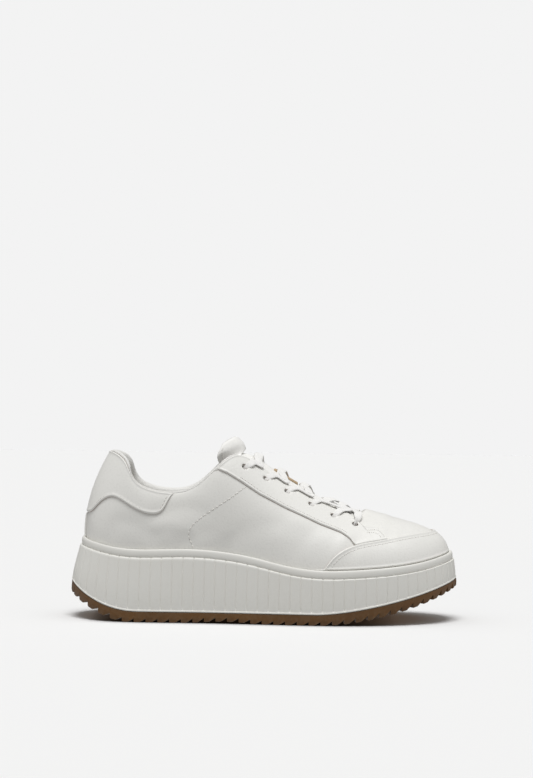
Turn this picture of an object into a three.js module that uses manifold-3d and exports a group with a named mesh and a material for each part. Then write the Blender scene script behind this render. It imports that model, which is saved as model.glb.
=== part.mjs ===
// A platform sneaker for the right foot, standing empty on a floor.
// Millimetres, +Z up, toe at +X, outer (lateral) side at -Y. The origin is on the floor under the middle of the shoe.
import * as THREE from "three";
import { mergeVertices } from "three/addons/utils/BufferGeometryUtils.js";
import Module from "manifold-3d";

const wasm = await Module();
wasm.setup();

// ---------------------------------------------------------------- driving sizes
const LAST_LENGTH = 257.5; // feather line, heel to toe
const BALL_WIDTH = 90; // feather line, across the ball
const INSTEP_HEIGHT = 75; // footbed to the top corner of the lace facing
const HEEL_X = -126.7; // the feather line's rearmost point
const CUP_DEPTH = 7; // how far the upper sits down inside the sole's rim
const GAP = 0.3; // between pieces that meet

const WALL = 2.2; // upper: leather, backing and lining together
const OVERLAY = 1.1; // toe cap, heel counter and lace facings
const PAD = 5.5; // foam of the collar at its fullest
const INSOLE = 4.5;

const RIM = 4.7; // feather line to the face of the ribs
const BEAD = 5.6; // height of the plain band above the ribs
const RIB_COUNT = 84;
const RIB_DEPTH = 1.0;
const GROOVE_SHARE = 0.11; // half a groove's width, as a share of a rib's pitch
const BAND_INSET = { ribs: 0.2, middle: 1.1, top: 2.7 }; // the band's lines inside the ribs' face
const FLARE = { toe: 1.4, heel: 4.1, belly: 0.3 }; // how the sole's wall leans out and swells towards its foot

const LUG_COUNT = 78; // teeth round the tread's edge
const LUG_DEPTH = 2.4; // on the flat
const LUG_DEEPEN = 1.2; // the teeth grow by this much of their depth for each unit of the rocker's slope
const LUG_REACH = 7; // how far a tooth runs in from the edge
const LUG_FLAT = 0.42; // share of a tooth that lies flat before it ramps up
const LUG_STAND = 0.6; // the tread's edge stands this far outside the sole's wall

const EYELET_RADIUS = 2.3;
const LACE_WIDTH = 6;
const LACE_THICKNESS = 1.8;
const LACE_SLACK = 1.4; // room between a lace and what it crosses

// ---------------------------------------------------------------- tables
// One row for each section from heel to toe. The foot columns place the feather line, as shares of the last's
// length and of half the ball width; the edge columns place the rim of the collar and throat in the same way, with its
// height above the footbed as a share of the instep. The last four shape the wall between them, in millimetres:
// lean and rise carry it out and up from the feather line, and pull and drop bring it out and down from the edge.
const SECTIONS = [
  { name: "heel", along: 0.0, outer: 0.056, inner: 0.056, edgeAlong: 0.064, edgeOuter: 0.056, edgeInner: 0.056, edgeUp: 0.963, lean: 3.5, rise: 31, pull: 8, drop: 14 },
  { name: "heel curve", along: 0.016, outer: -0.344, inner: 0.456, edgeAlong: 0.083, edgeOuter: -0.24, edgeInner: 0.35, edgeUp: 0.955, lean: 3.3, rise: 30, pull: 7.5, drop: 14 },
  { name: "counter back", along: 0.066, outer: -0.611, inner: 0.7, edgeAlong: 0.113, edgeOuter: -0.47, edgeInner: 0.58, edgeUp: 0.872, lean: 3, rise: 27, pull: 6, drop: 13 },
  { name: "counter side", along: 0.14, outer: -0.727, inner: 0.789, edgeAlong: 0.144, edgeOuter: -0.61, edgeInner: 0.71, edgeUp: 0.697, lean: 2.6, rise: 21, pull: 5, drop: 9 },
  { name: "ankle", along: 0.225, outer: -0.767, inner: 0.778, edgeAlong: 0.225, edgeOuter: -0.665, edgeInner: 0.765, edgeUp: 0.612, lean: 2.5, rise: 18, pull: 5, drop: 8 },
  { name: "shank", along: 0.318, outer: -0.789, inner: 0.745, edgeAlong: 0.303, edgeOuter: -0.68, edgeInner: 0.765, edgeUp: 0.673, lean: 2.5, rise: 20, pull: 5.5, drop: 9 },
  { name: "waist", along: 0.412, outer: -0.844, inner: 0.722, edgeAlong: 0.371, edgeOuter: -0.64, edgeInner: 0.725, edgeUp: 0.899, lean: 2.5, rise: 26, pull: 9, drop: 14 },
  { name: "instep corner", along: 0.505, outer: -0.911, inner: 0.745, edgeAlong: 0.423, edgeOuter: -0.44, edgeInner: 0.55, edgeUp: 0.996, lean: 2.5, rise: 29, pull: 13, drop: 13 },
  { name: "instep", along: 0.59, outer: -0.973, inner: 0.844, edgeAlong: 0.491, edgeOuter: -0.29, edgeInner: 0.41, edgeUp: 0.901, lean: 2.5, rise: 27, pull: 15, drop: 10 },
  { name: "outer ball", along: 0.683, outer: -1.0, inner: 0.967, edgeAlong: 0.583, edgeOuter: -0.245, edgeInner: 0.365, edgeUp: 0.781, lean: 2.5, rise: 24, pull: 16, drop: 8 },
  { name: "inner ball", along: 0.777, outer: -0.956, inner: 1.0, edgeAlong: 0.672, edgeOuter: -0.215, edgeInner: 0.335, edgeUp: 0.656, lean: 2.5, rise: 21, pull: 17, drop: 6 },
  { name: "small toes", along: 0.87, outer: -0.84, inner: 0.93, edgeAlong: 0.738, edgeOuter: -0.17, edgeInner: 0.29, edgeUp: 0.593, lean: 2.6, rise: 20, pull: 20, drop: 5 },
  { name: "toe side", along: 0.944, outer: -0.6, inner: 0.72, edgeAlong: 0.763, edgeOuter: -0.09, edgeInner: 0.21, edgeUp: 0.605, lean: 2.8, rise: 21, pull: 27, drop: 6 },
  { name: "toe curve", along: 0.988, outer: -0.25, inner: 0.42, edgeAlong: 0.77, edgeOuter: 0.01, edgeInner: 0.12, edgeUp: 0.622, lean: 3, rise: 23, pull: 35, drop: 9.5 },
  { name: "toe", along: 1.0, outer: 0.1, inner: 0.1, edgeAlong: 0.771, edgeOuter: 0.065, edgeInner: 0.065, edgeUp: 0.625, lean: 3, rise: 24, pull: 37.5, drop: 10.5 },
];

// Height of the sole's rim along the shoe.
const RIM_LINE = [
  { x: -131, z: 57.3 },
  { x: -116, z: 53.5 },
  { x: -98, z: 50.6 },
  { x: -75, z: 50.4 },
  { x: -52, z: 50.9 },
  { x: -30, z: 49.5 },
  { x: -8, z: 46 },
  { x: 15, z: 40.6 },
  { x: 38, z: 37.7 },
  { x: 62, z: 38.1 },
  { x: 86, z: 39.9 },
  { x: 110, z: 43.4 },
  { x: 136, z: 50 },
];

// A rocker line is flat in the middle and sweeps up behind `heel.from` and ahead of `toe.from`.
const PARTING = { flat: 7.4, heel: { from: -88, run: 49, rise: 19, power: 2.1 }, toe: { from: 36, run: 101, rise: 23, power: 1.6 } };
const TREAD = { flat: 0, heel: { from: -95, run: 42, rise: 18.2, power: 1.65 }, toe: { from: 36, run: 101, rise: 25, power: 1.8 } };
const ARCH = { from: -60, to: 5, lift: 1.5 }; // the tread leaves the floor under the waist

// Seams on a side of the upper, as seen from that side: x along the shoe and z above the floor.
const TOE_CAP_SEAM = [
  { x: 41.6, z: 38.5 },
  { x: 45.1, z: 43.5 },
  { x: 50.4, z: 48.8 },
  { x: 56.5, z: 52.6 },
  { x: 66, z: 55.8 },
  { x: 78, z: 57.6 },
  { x: 91, z: 60 },
  { x: 105, z: 62 },
  { x: 118, z: 63.2 },
];
const COUNTER_SEAM = [
  { x: -126.4, z: 74 },
  { x: -122.1, z: 75.3 },
  { x: -118, z: 79.5 },
  { x: -112, z: 84.6 },
  { x: -106, z: 86 },
  { x: -99, z: 83 },
  { x: -90, z: 77.8 },
  { x: -80, z: 74.7 },
  { x: -74.5, z: 75.4 },
  { x: -71.2, z: 78 },
  { x: -67.5, z: 84.6 },
  { x: -63.3, z: 90 },
];
const FACING_SEAM = [
  { x: -37.5, z: 104.5 },
  { x: -33, z: 106.2 },
  { x: -26.5, z: 103.6 },
  { x: -17.1, z: 97.9 },
  { x: -4, z: 89.2 },
  { x: 13.2, z: 80.2 },
  { x: 38.8, z: 68.7 },
  { x: 53.1, z: 63.3 },
  { x: 59.5, z: 59 },
];
const FACING_FRONT = [
  { x: 68.5, z: 67.2 },
  { x: 78.5, z: 66.4 },
  { x: 81.3, z: 64.7 },
  { x: 85, z: 59.8 },
];
// Punched lace holes from the ankle to the toe.
const EYELETS = [
  { x: -14.9, z: 108 },
  { x: -0.1, z: 99.6 },
  { x: 15.2, z: 90.8 },
  { x: 32.2, z: 81.9 },
  { x: 47.9, z: 74.3 },
  { x: 63.4, z: 68.5 },
];
// The padded collar in section: up is measured along the wall from its edge, in from the wall's inner face.
const COLLAR_PROFILE = [
  { up: -30, deep: 0 },
  { up: 1.6, deep: 0 },
  { up: 2.7, deep: 0.35 },
  { up: 2, deep: 0.8 },
  { up: -2, deep: 1 },
  { up: -10, deep: 1 },
  { up: -20, deep: 0.75 },
  { up: -30, deep: 0.25 },
];
// The tongue under the facings: how far its wings reach down the walls, as a share of the wall, how high its crown
// arches, as a share of the gap that it spans, and its thickness.
const TONGUE = [
  { station: 12.1, wing: 0.14, arch: 0.3, thick: 2.5 },
  { station: 11, wing: 0.26, arch: 0.45, thick: 3.5 },
  { station: 10, wing: 0.32, arch: 0.55, thick: 4.5 },
  { station: 9, wing: 0.32, arch: 0.55, thick: 5.5 },
  { station: 8, wing: 0.3, arch: 0.46, thick: 6 },
  { station: 7.1, wing: 0.22, arch: 0.2, thick: 6 },
];
// The tongue's free top, with its edges swept back round the ankle.
const TONGUE_TOP = [
  { crownX: -18.5, crownZ: 121.5, edgeX: -31, edgeZ: 109, half: 21 },
  { crownX: -20.5, crownZ: 127, edgeX: -33.5, edgeZ: 117, half: 23 },
  { crownX: -24, crownZ: 130.5, edgeX: -31, edgeZ: 124, half: 19 },
];

// ---------------------------------------------------------------- curves
/** A smooth curve through values at stations, with natural ends, or closed on itself after a period. */
function spline(stations, values, period) {
  const n = stations.length;
  const at = (i) => stations[((i % n) + n) % n] + Math.floor(i / n) * (period ?? 0);
  const value = (i) => values[((i % n) + n) % n];
  const bend = new Array(n).fill(0);
  const settlingPasses = 80;
  for (let pass = 0; pass < settlingPasses; pass++)
    for (let i = period ? 0 : 1; i < (period ? n : n - 1); i++) {
      const before = at(i) - at(i - 1);
      const after = at(i + 1) - at(i);
      const turn = 6 * ((value(i + 1) - value(i)) / after - (value(i) - value(i - 1)) / before);
      const pull = before * bend[(i - 1 + n) % n] + after * bend[(i + 1) % n];
      bend[i] = (turn - pull) / (2 * (before + after));
    }
  return (station) => {
    const s = period ? stations[0] + THREE.MathUtils.euclideanModulo(station - stations[0], period) : station;
    let i = 0;
    while (i < (period ? n - 1 : n - 2) && at(i + 1) <= s) i++;
    const h = at(i + 1) - at(i);
    const b = (s - at(i)) / h;
    const a = 1 - b;
    const sag = ((a ** 3 - a) * bend[i] + (b ** 3 - b) * bend[(i + 1) % n]) * (h * h) / 6;
    return a * value(i) + b * value(i + 1) + sag;
  };
}

/** Straight steps between stations, held level past both ends. */
function steps(stations, values) {
  return (s) => {
    const i = stations.findIndex((station) => station > s);
    if (i < 0) return values.at(-1);
    if (i === 0) return values[0];
    return THREE.MathUtils.mapLinear(s, stations[i - 1], stations[i], values[i - 1], values[i]);
  };
}

const rimLine = spline(RIM_LINE.map((p) => p.x), RIM_LINE.map((p) => p.z));
const footbed = (x) => rimLine(x) - CUP_DEPTH;
const sweep = (distance, end) => end.rise * Math.max(0, distance / end.run) ** end.power;
const rocker = (x, line) => line.flat + sweep(line.heel.from - x, line.heel) + sweep(x - line.toe.from, line.toe);
const parting = (x) => rocker(x, PARTING);
const archShare = (x) => THREE.MathUtils.clamp((x - ARCH.from) / (ARCH.to - ARCH.from), 0, 1);
const tread = (x) => rocker(x, TREAD) + ARCH.lift * Math.sin(Math.PI * archShare(x)) ** 2;

// ---------------------------------------------------------------- the last
// Round the shoe runs a ring station: 0 at the heel, up the outer side to the toe, and back along the inner side.
const TOE = SECTIONS.length - 1;
const RING = 2 * TOE;

/** A closed curve of one quantity round the ring, read from each section for its own side. */
function round(read) {
  const stations = Array.from({ length: RING }, (_, i) => i);
  const values = stations.map((i) => (i <= TOE ? read(SECTIONS[i], false) : read(SECTIONS[RING - i], true)));
  return spline(stations, values, RING);
}

const lastX = (share) => HEEL_X + share * LAST_LENGTH;
const lastY = (share) => (share * BALL_WIDTH) / 2;
const feather = { x: round((s) => lastX(s.along)), y: round((s, inner) => lastY(inner ? s.inner : s.outer)) };
const edge = {
  x: round((s) => lastX(s.edgeAlong)),
  y: round((s, inner) => lastY(inner ? s.edgeInner : s.edgeOuter)),
  z: round((s) => footbed(lastX(s.edgeAlong)) + s.edgeUp * INSTEP_HEIGHT),
};
const lean = round((s) => s.lean);
const rise = round((s) => s.rise);
const pull = round((s) => s.pull);
const drop = round((s) => s.drop);

/** The feather line's outward direction in plan. */
function outward(t) {
  const e = 0.01;
  const dx = feather.x(t + e) - feather.x(t - e);
  const dy = feather.y(t + e) - feather.y(t - e);
  return new THREE.Vector3(dy, -dx, 0).normalize();
}

/** A point of the upper's outer face: share 0 at the feather line and 1 at the edge of the collar or throat. */
function wallPoint(t, share) {
  const foot = new THREE.Vector3(feather.x(t), feather.y(t), footbed(feather.x(t)));
  const top = new THREE.Vector3(edge.x(t), edge.y(t), edge.z(t));
  const out = outward(t);
  const blendReach = 12; // over spans much longer than this the edge is pulled straight towards the feather line
  const away = foot.clone().sub(top).setZ(0).addScaledVector(out, blendReach).normalize();
  const low = foot.clone().addScaledVector(out, lean(t));
  low.z += rise(t);
  const high = top.clone().addScaledVector(away, pull(t));
  high.z -= drop(t);
  return new THREE.CubicBezierCurve3(foot, low, high, top).getPoint(share);
}

/** The upper's outward direction at a point of its outer face. */
function wallNormal(t, share) {
  const e = 0.01;
  const up = wallPoint(t, Math.min(1, share + e)).sub(wallPoint(t, Math.max(0, share - e)));
  const ahead = wallPoint(t + e, share).sub(wallPoint(t - e, share));
  return ahead.cross(up).normalize();
}

/** A point that stands off the upper's outer face: outside it where stand is above 0. */
function onWall(t, share, stand = 0) {
  return wallPoint(t, share).addScaledVector(wallNormal(t, share), stand);
}

/** The ring station and share of the point of a side that is seen at x and z from that side. */
function locate({ x, z }, inner = false) {
  let best = { t: 0, share: 0, miss: Infinity };
  let reachT = TOE / 2;
  let reachShare = 0.5;
  let centre = { t: TOE / 2, share: 0.5 };
  const cells = 12;
  while (reachT > 1e-4) {
    for (let i = -cells; i <= cells; i++)
      for (let j = -cells; j <= cells; j++) {
        const t = THREE.MathUtils.clamp(centre.t + (i / cells) * reachT, 0, TOE);
        const share = THREE.MathUtils.clamp(centre.share + (j / cells) * reachShare, 0, 1);
        const p = wallPoint(inner ? -t : t, share);
        const miss = Math.hypot(p.x - x, p.z - z);
        if (miss < best.miss) best = { t, share, miss };
      }
    centre = best;
    reachT /= 3;
    reachShare /= 3;
  }
  return best;
}

// ---------------------------------------------------------------- solids
/** A geometry of closed loops joined in order; the last joins the first, or both ends are closed across.
 * Point i of an end loop faces point length - i - offset, so the cap is a strip across the loop. */
function loft(loops, { ring = false, offset = 0 } = {}) {
  const size = loops[0].length;
  const points = loops.flat();
  const positions = points.flatMap((p) => [p.x, p.y, p.z]);
  const triangles = [];
  const quad = (...corners) => {
    const spans = [0, 1].map((i) => points[corners[i]].distanceToSquared(points[corners[i + 2]]));
    const [a, b, c, d] = spans[0] <= spans[1] ? corners : [...corners.slice(1), corners[0]]; // the shorter diagonal
    if (a !== b && b !== c && a !== c) triangles.push(a, b, c);
    if (a !== c && c !== d && a !== d) triangles.push(a, c, d);
  };
  for (let k = 0; k < loops.length - (ring ? 0 : 1); k++) {
    const here = k * size;
    const next = ((k + 1) % loops.length) * size;
    for (let i = 0; i < size; i++) quad(here + i, here + ((i + 1) % size), next + ((i + 1) % size), next + i);
  }
  if (!ring)
    for (let i = 0; i < size / 2; i++) {
      const across = (j) => (((size - j - offset) % size) + size) % size;
      const strip = [i, i + 1, across(i + 1), across(i)];
      quad(...strip.toReversed());
      quad(...strip.map((j) => j + (loops.length - 1) * size));
    }
  const geometry = new THREE.BufferGeometry();
  geometry.setAttribute("position", new THREE.Float32BufferAttribute(positions, 3));
  geometry.setIndex(triangles);
  return geometry;
}

/** A geometry as a manifold-3d solid, facing out. */
function solid(geometry) {
  const merged = mergeVertices(geometry, 1e-4);
  const triVerts = new Uint32Array(merged.index.array);
  const mesh = new wasm.Mesh({ numProp: 3, vertProperties: merged.attributes.position.array, triVerts });
  mesh.merge();
  const made = new wasm.Manifold(mesh);
  if (made.volume() > 0) return made;
  for (let i = 0; i < triVerts.length; i += 3) [triVerts[i + 1], triVerts[i + 2]] = [triVerts[i + 2], triVerts[i + 1]];
  return new wasm.Manifold(new wasm.Mesh({ numProp: 3, vertProperties: merged.attributes.position.array, triVerts }));
}

/** A manifold-3d solid as a geometry. */
function geometryOf(made) {
  const mesh = made.getMesh();
  const geometry = new THREE.BufferGeometry();
  geometry.setAttribute("position", new THREE.BufferAttribute(mesh.vertProperties, 3));
  geometry.setIndex(new THREE.BufferAttribute(mesh.triVerts, 1));
  return geometry;
}

/** A ring of points round the shoe at the given stations: reach outside the feather line, and height from x. */
function outline(stations, reach, height) {
  return stations.map((station, i) => {
    const t = typeof station === "number" ? station : station.t;
    const p = outward(t).multiplyScalar(reach(station, i));
    p.x += feather.x(t);
    p.y += feather.y(t);
    p.z = height(p.x, station);
    return p;
  });
}

/** Stations with even spacing along the sole's edge: count of them round the shoe, each with its phases. */
function evenStations(count, phases) {
  const samples = 1400;
  const travelled = [0];
  const spot = (i) => {
    const t = (i / samples) * RING;
    const out = outward(t).multiplyScalar(RIM);
    return new THREE.Vector2(feather.x(t) + out.x, feather.y(t) + out.y);
  };
  for (let i = 1; i <= samples; i++) travelled.push(travelled[i - 1] + spot(i).distanceTo(spot(i - 1)));
  const total = travelled[samples];
  const toStation = steps(travelled, travelled.map((_, i) => (i / samples) * RING));
  const made = [];
  for (let k = 0; k < count; k++)
    for (const phase of phases) made.push({ ...phase, t: toStation(((k + phase.share) / count) * total) });
  return made;
}

const between = (from, to, count) => Array.from({ length: count + 1 }, (_, i) => from + ((to - from) * i) / count);
const UPPER_STATIONS = evenStations(46, [{ share: 0 }]).map((s) => s.t);
const UPPER_SHARES = [0, 0.09, 0.2, 0.35, 0.51, 0.68, 0.84, 1];
const HALF_SPAN = 80; // further out than any face of the shoe

// ---------------------------------------------------------------- sole
/** How far the sole's wall stands outside the ribs' top line: down is 0 at that line and 1 at the parting line. */
function wallFlare(x, down) {
  const share = (LAST_LENGTH / 2 - x) / LAST_LENGTH;
  return (FLARE.toe + FLARE.heel * share ** 2) * ((1 + FLARE.belly) * down - FLARE.belly * down ** 4);
}

/** The ribbed platform with its plain band: one moulding, hollowed to take the upper. */
function midsole() {
  const phases = [
    { share: 0, groove: 1 },
    { share: GROOVE_SHARE, groove: 0 },
    { share: 1 - GROOVE_SHARE, groove: 0 },
  ];
  const stations = evenStations(RIB_COUNT, phases);
  const ribFace = (down, tuck) => (s) => RIM + wallFlare(feather.x(s.t), down) - tuck - RIB_DEPTH * s.groove;
  const ribHeight = (down) => (x) => THREE.MathUtils.lerp(rimLine(x) - BEAD, parting(x), down);
  const levels = [
    outline(stations, ribFace(1, 0), parting),
    outline(stations, ribFace(0, BAND_INSET.ribs), ribHeight(0)),
    outline(stations, () => RIM - BAND_INSET.middle, (x) => rimLine(x) - BEAD / 2),
    outline(stations, () => RIM - BAND_INSET.top, rimLine),
  ];
  const cup = UPPER_SHARES.slice(0, 3).map((share) => UPPER_STATIONS.map((t) => onWall(t, share, GAP)));
  cup[0].forEach((p) => (p.z -= GAP));
  return solid(loft(levels)).subtract(solid(loft(cup)));
}

/** The gum tread: a curved plate whose edge is cut into teeth all round. */
function outsole() {
  const rampEnd = 0.999; // the ramp drops straight down to the next tooth
  const phases = [
    { share: 0, lift: 0 },
    { share: LUG_FLAT, lift: 0 },
    { share: rampEnd, lift: 1 },
  ];
  const half = evenStations(LUG_COUNT, phases).filter((s) => s.t < TOE);
  const mirrored = half.slice(1).map((s) => ({ ...s, t: RING - s.t }));
  const stations = [...half, { t: TOE, lift: 0 }, ...mirrored.toReversed()];
  const leastPlate = 2.5;
  const edgeOf = (s) => RIM + wallFlare(feather.x(s.t), 1) + LUG_STAND;
  const slope = (x) => Math.abs(tread(x + 0.5) - tread(x - 0.5));
  const depthAt = (x) => LUG_DEPTH * (1 + LUG_DEEPEN * slope(x));
  const level = (inset, height) => outline(stations, (s) => edgeOf(s) - inset, height);
  const teeth = level(0.4, (x, s) => tread(x) + s.lift * depthAt(x));
  const levels = [
    level(LUG_REACH + 1, (x) => Math.min(tread(x) + depthAt(x), parting(x) - leastPlate)),
    level(LUG_REACH, () => 0).map((p, i) => p.setZ(teeth[i].z)), // each tooth runs level inwards
    teeth,
    level(1, (x) => parting(x) - GAP),
  ];
  return solid(loft(levels));
}

/** The footbed board and foam that a foot stands on. */
function insole() {
  const inset = () => -(WALL + 2 * GAP);
  return solid(
    loft([
      outline(UPPER_STATIONS, inset, (x) => footbed(x) + 0.1),
      outline(UPPER_STATIONS, inset, (x) => footbed(x) + INSOLE),
    ]),
  );
}

// ---------------------------------------------------------------- upper
/** The upper's own form between two stands from its outer face: one wall, open below and at collar and throat. */
function shell(inside, outside, shares = UPPER_SHARES) {
  const loops = UPPER_STATIONS.map((t) => [
    ...shares.map((share) => onWall(t, share, outside)),
    ...shares.toReversed().map((share) => onWall(t, share, inside)),
  ]);
  return solid(loft(loops, { ring: true }));
}

/** A prism whose outline is drawn in side view, between two distances across the shoe. */
function sidePrism(points, fromY, toY) {
  const shape = new THREE.Shape(points.map(({ x, z }) => new THREE.Vector2(x, z)));
  const prism = new THREE.ExtrudeGeometry(shape, { depth: toY - fromY, bevelEnabled: false });
  prism.deleteAttribute("normal");
  prism.deleteAttribute("uv");
  prism.rotateX(Math.PI / 2); // z of the outline turns up, and its depth runs towards -Y
  prism.translate(0, toY, 0);
  return solid(prism);
}

/** The rim of the sole, with a little room over it, as side-view points between two places. */
function overRim(from, to) {
  const step = 8;
  const count = Math.max(1, Math.round(Math.abs(to - from) / step));
  return between(from, to, count).map((x) => ({ x, z: rimLine(x) + 2 * GAP }));
}

/** Cuts the lace holes of one side, or of both, out of a solid. */
function punch(made, sides) {
  for (const inner of sides)
    for (const eyelet of EYELETS) {
      const { t, share } = locate(eyelet, inner);
      const station = inner ? -t : t;
      const pin = new THREE.CylinderGeometry(EYELET_RADIUS, EYELET_RADIUS, 12, 6);
      pin.deleteAttribute("normal");
      pin.deleteAttribute("uv");
      pin.applyQuaternion(
        new THREE.Quaternion().setFromUnitVectors(new THREE.Vector3(0, 1, 0), wallNormal(station, share)),
      );
      pin.translate(...onWall(station, share));
      made = made.subtract(solid(pin));
    }
  return made;
}

/** The hollow upper: one wall from the feather line to the edge of the collar and throat, open below. */
function upper() {
  return punch(shell(-WALL, 0), [false, true]);
}

/** A raised layer of leather that covers the part of the upper inside a side-view outline. */
function overlay(points, fromY = -HALF_SPAN, toY = HALF_SPAN) {
  return shell(GAP, GAP + OVERLAY).intersect(sidePrism(points, fromY, toY));
}

/** The cap that wraps the toe, from its tip on one side to its tip on the other. */
function toeCap() {
  const ahead = HALF_SPAN * 2;
  return overlay([...TOE_CAP_SEAM, { x: ahead, z: TOE_CAP_SEAM.at(-1).z + 1 }, ...overRim(ahead, TOE_CAP_SEAM[0].x + 1)]);
}

/** The counter that wraps the heel below the collar. */
function heelCounter() {
  const behind = -HALF_SPAN * 2;
  const above = 140;
  const tip = COUNTER_SEAM.at(-1);
  return overlay([{ x: behind, z: COUNTER_SEAM[0].z }, ...COUNTER_SEAM, { x: tip.x, z: above }, { x: behind, z: above }]);
}

/** The strip that covers the back seam between the counter and the sole. */
function backStrip() {
  const halfWidth = 3.5;
  const middle = feather.y(0);
  const ahead = -115;
  const behind = -HALF_SPAN * 2;
  const top = COUNTER_SEAM[0].z - GAP;
  const sides = [...overRim(behind, ahead), { x: ahead, z: top }, { x: behind, z: top }];
  return overlay(sides, middle - halfWidth, middle + halfWidth);
}

/** One side's lace facing, from the collar to the toe cap. */
function facing(inner) {
  const cap = TOE_CAP_SEAM.filter((p) => p.x > FACING_SEAM.at(-1).x && p.x < FACING_FRONT.at(-1).x);
  const overCap = cap.map(({ x, z }) => ({ x, z: z + GAP }));
  const above = 140;
  const sides = [
    ...FACING_SEAM,
    ...overCap,
    ...FACING_FRONT.toReversed(),
    { x: FACING_FRONT[0].x, z: above },
    { x: FACING_SEAM[0].x, z: above },
  ];
  const middle = (edge.y(TOE) + edge.y(-TOE)) / 2;
  return punch(inner ? overlay(sides, middle, HALF_SPAN) : overlay(sides, -HALF_SPAN, middle), [inner]);
}

/** The foam roll inside the collar, from one facing round the heel to the other. */
function collarPad() {
  const end = 5.9;
  const taperFrom = 4.5;
  const around = UPPER_STATIONS.map((t) => (t > TOE ? t - RING : t)).sort((a, b) => a - b);
  const loops = around.filter((t) => Math.abs(t) < end).map((t) => {
    const full = 1 - 0.5 * THREE.MathUtils.smoothstep(Math.abs(t), taperFrom, end);
    const top = onWall(t, 1, -WALL - 2 * GAP);
    const climb = wallPoint(t, 1).sub(wallPoint(t, 0.98)).normalize();
    const inwards = wallNormal(t, 1).negate();
    const height = edge.z(t) - footbed(edge.x(t));
    return COLLAR_PROFILE.map(({ up, deep }) => {
      if (up < -2) {
        const share = 1 + (up * full) / height;
        return onWall(t, share, -WALL - 2 * GAP - deep * PAD * full);
      }
      return top.clone().addScaledVector(climb, up * full).addScaledVector(inwards, deep * PAD * full);
    });
  });
  return solid(loft(loops, { offset: 1 }));
}

const TONGUE_ROWS = 7; // under the facings
const tongueSize = (key) => {
  const rows = TONGUE.toReversed();
  return steps(rows.map((row) => row.station), rows.map((row) => row[key]));
};
const tongueWing = tongueSize("wing");
const tongueArching = tongueSize("arch");
const tongueThickness = tongueSize("thick");

/** The tongue's top face at a station: a row of points from its outer edge over the crown to its inner edge. */
function tongueArch(t) {
  const wing = between(1 - tongueWing(t), 0.97, 2);
  const under = -WALL - 2 * GAP;
  const outer = wing.map((share) => onWall(t, share, under));
  const inner = wing.map((share) => onWall(-t, share, under)).reverse();
  const run = outer.at(-1).distanceTo(inner[0]);
  const handle = (at, below) => {
    const climb = at.clone().sub(below);
    return at.clone().addScaledVector(climb.setX(0).normalize(), run * tongueArching(t));
  };
  const ends = [outer.at(-1), handle(outer.at(-1), outer.at(-2)), handle(inner[0], inner[1]), inner[0]];
  const crown = new THREE.CubicBezierCurve3(...ends);
  return [...outer, ...between(0, 1, 6).slice(1, -1).map((s) => crown.getPoint(s)), ...inner];
}

/** A row of the tongue's free top, from its outer edge over the crown to its inner edge. */
function tongueTop({ crownX, crownZ, edgeX, edgeZ, half }) {
  const middle = (edge.y(TOE) + edge.y(-TOE)) / 2;
  return between(-1, 1, 10).map((side) => {
    const bow = side * side;
    const y = middle + half * side * (1.3 - 0.3 * bow);
    return new THREE.Vector3(crownX + (edgeX - crownX) * bow, y, crownZ + (edgeZ - crownZ) * bow);
  });
}

/** The padded tongue: it lies under the facings and stands free above them. */
function tongue() {
  const front = TONGUE[0].station;
  const corner = TONGUE.at(-1).station;
  const rows = [...between(front, corner, TONGUE_ROWS).map(tongueArch), ...TONGUE_TOP.map(tongueTop)];
  const loops = rows.map((row, k) => {
    const thickness = tongueThickness(front - (k / TONGUE_ROWS) * (front - corner));
    const below = row.map((p, i) => {
      const across = row[Math.min(i + 1, row.length - 1)].clone().sub(row[Math.max(i - 1, 0)]);
      const along = rows[Math.min(k + 1, rows.length - 1)][i].clone().sub(rows[Math.max(k - 1, 0)][i]);
      const side = Math.abs(i / ((row.length - 1) / 2) - 1);
      return p.clone().addScaledVector(along.cross(across).normalize(), thickness * (1 - 0.65 * side ** 2));
    });
    return [...row, ...below.toReversed()];
  });
  const overEdge = 1.008; // the clearance runs on past the edge of the throat
  const room = shell(-WALL - GAP, GAP + OVERLAY, [...UPPER_SHARES, overEdge]);
  const clear = solid(loft(loops, { offset: 1 })).subtract(room);
  return clear.decompose().sort((a, b) => b.volume() - a.volume())[0];
}

// ---------------------------------------------------------------- laces
/** A flat lace swept along points, with the direction that its face looks at each. */
function laceStrip(path) {
  const curve = new THREE.CatmullRomCurve3(path.map((p) => p.at));
  const faces = new THREE.CatmullRomCurve3(path.map((p) => p.up));
  const section = [
    [-0.5, -0.5],
    [-0.5, 0.5],
    [0.5, 0.5],
    [0.5, -0.5],
  ];
  const loops = between(0, 1, 6).map((s) => {
    const at = curve.getPoint(s);
    const ahead = curve.getTangent(s);
    const side = ahead.clone().cross(faces.getPoint(s)).normalize();
    const up = side.clone().cross(ahead).normalize();
    return section.map(([a, b]) =>
      at.clone().addScaledVector(side, a * LACE_WIDTH).addScaledVector(up, b * LACE_THICKNESS),
    );
  });
  return solid(loft(loops, { offset: 1 }));
}

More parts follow.
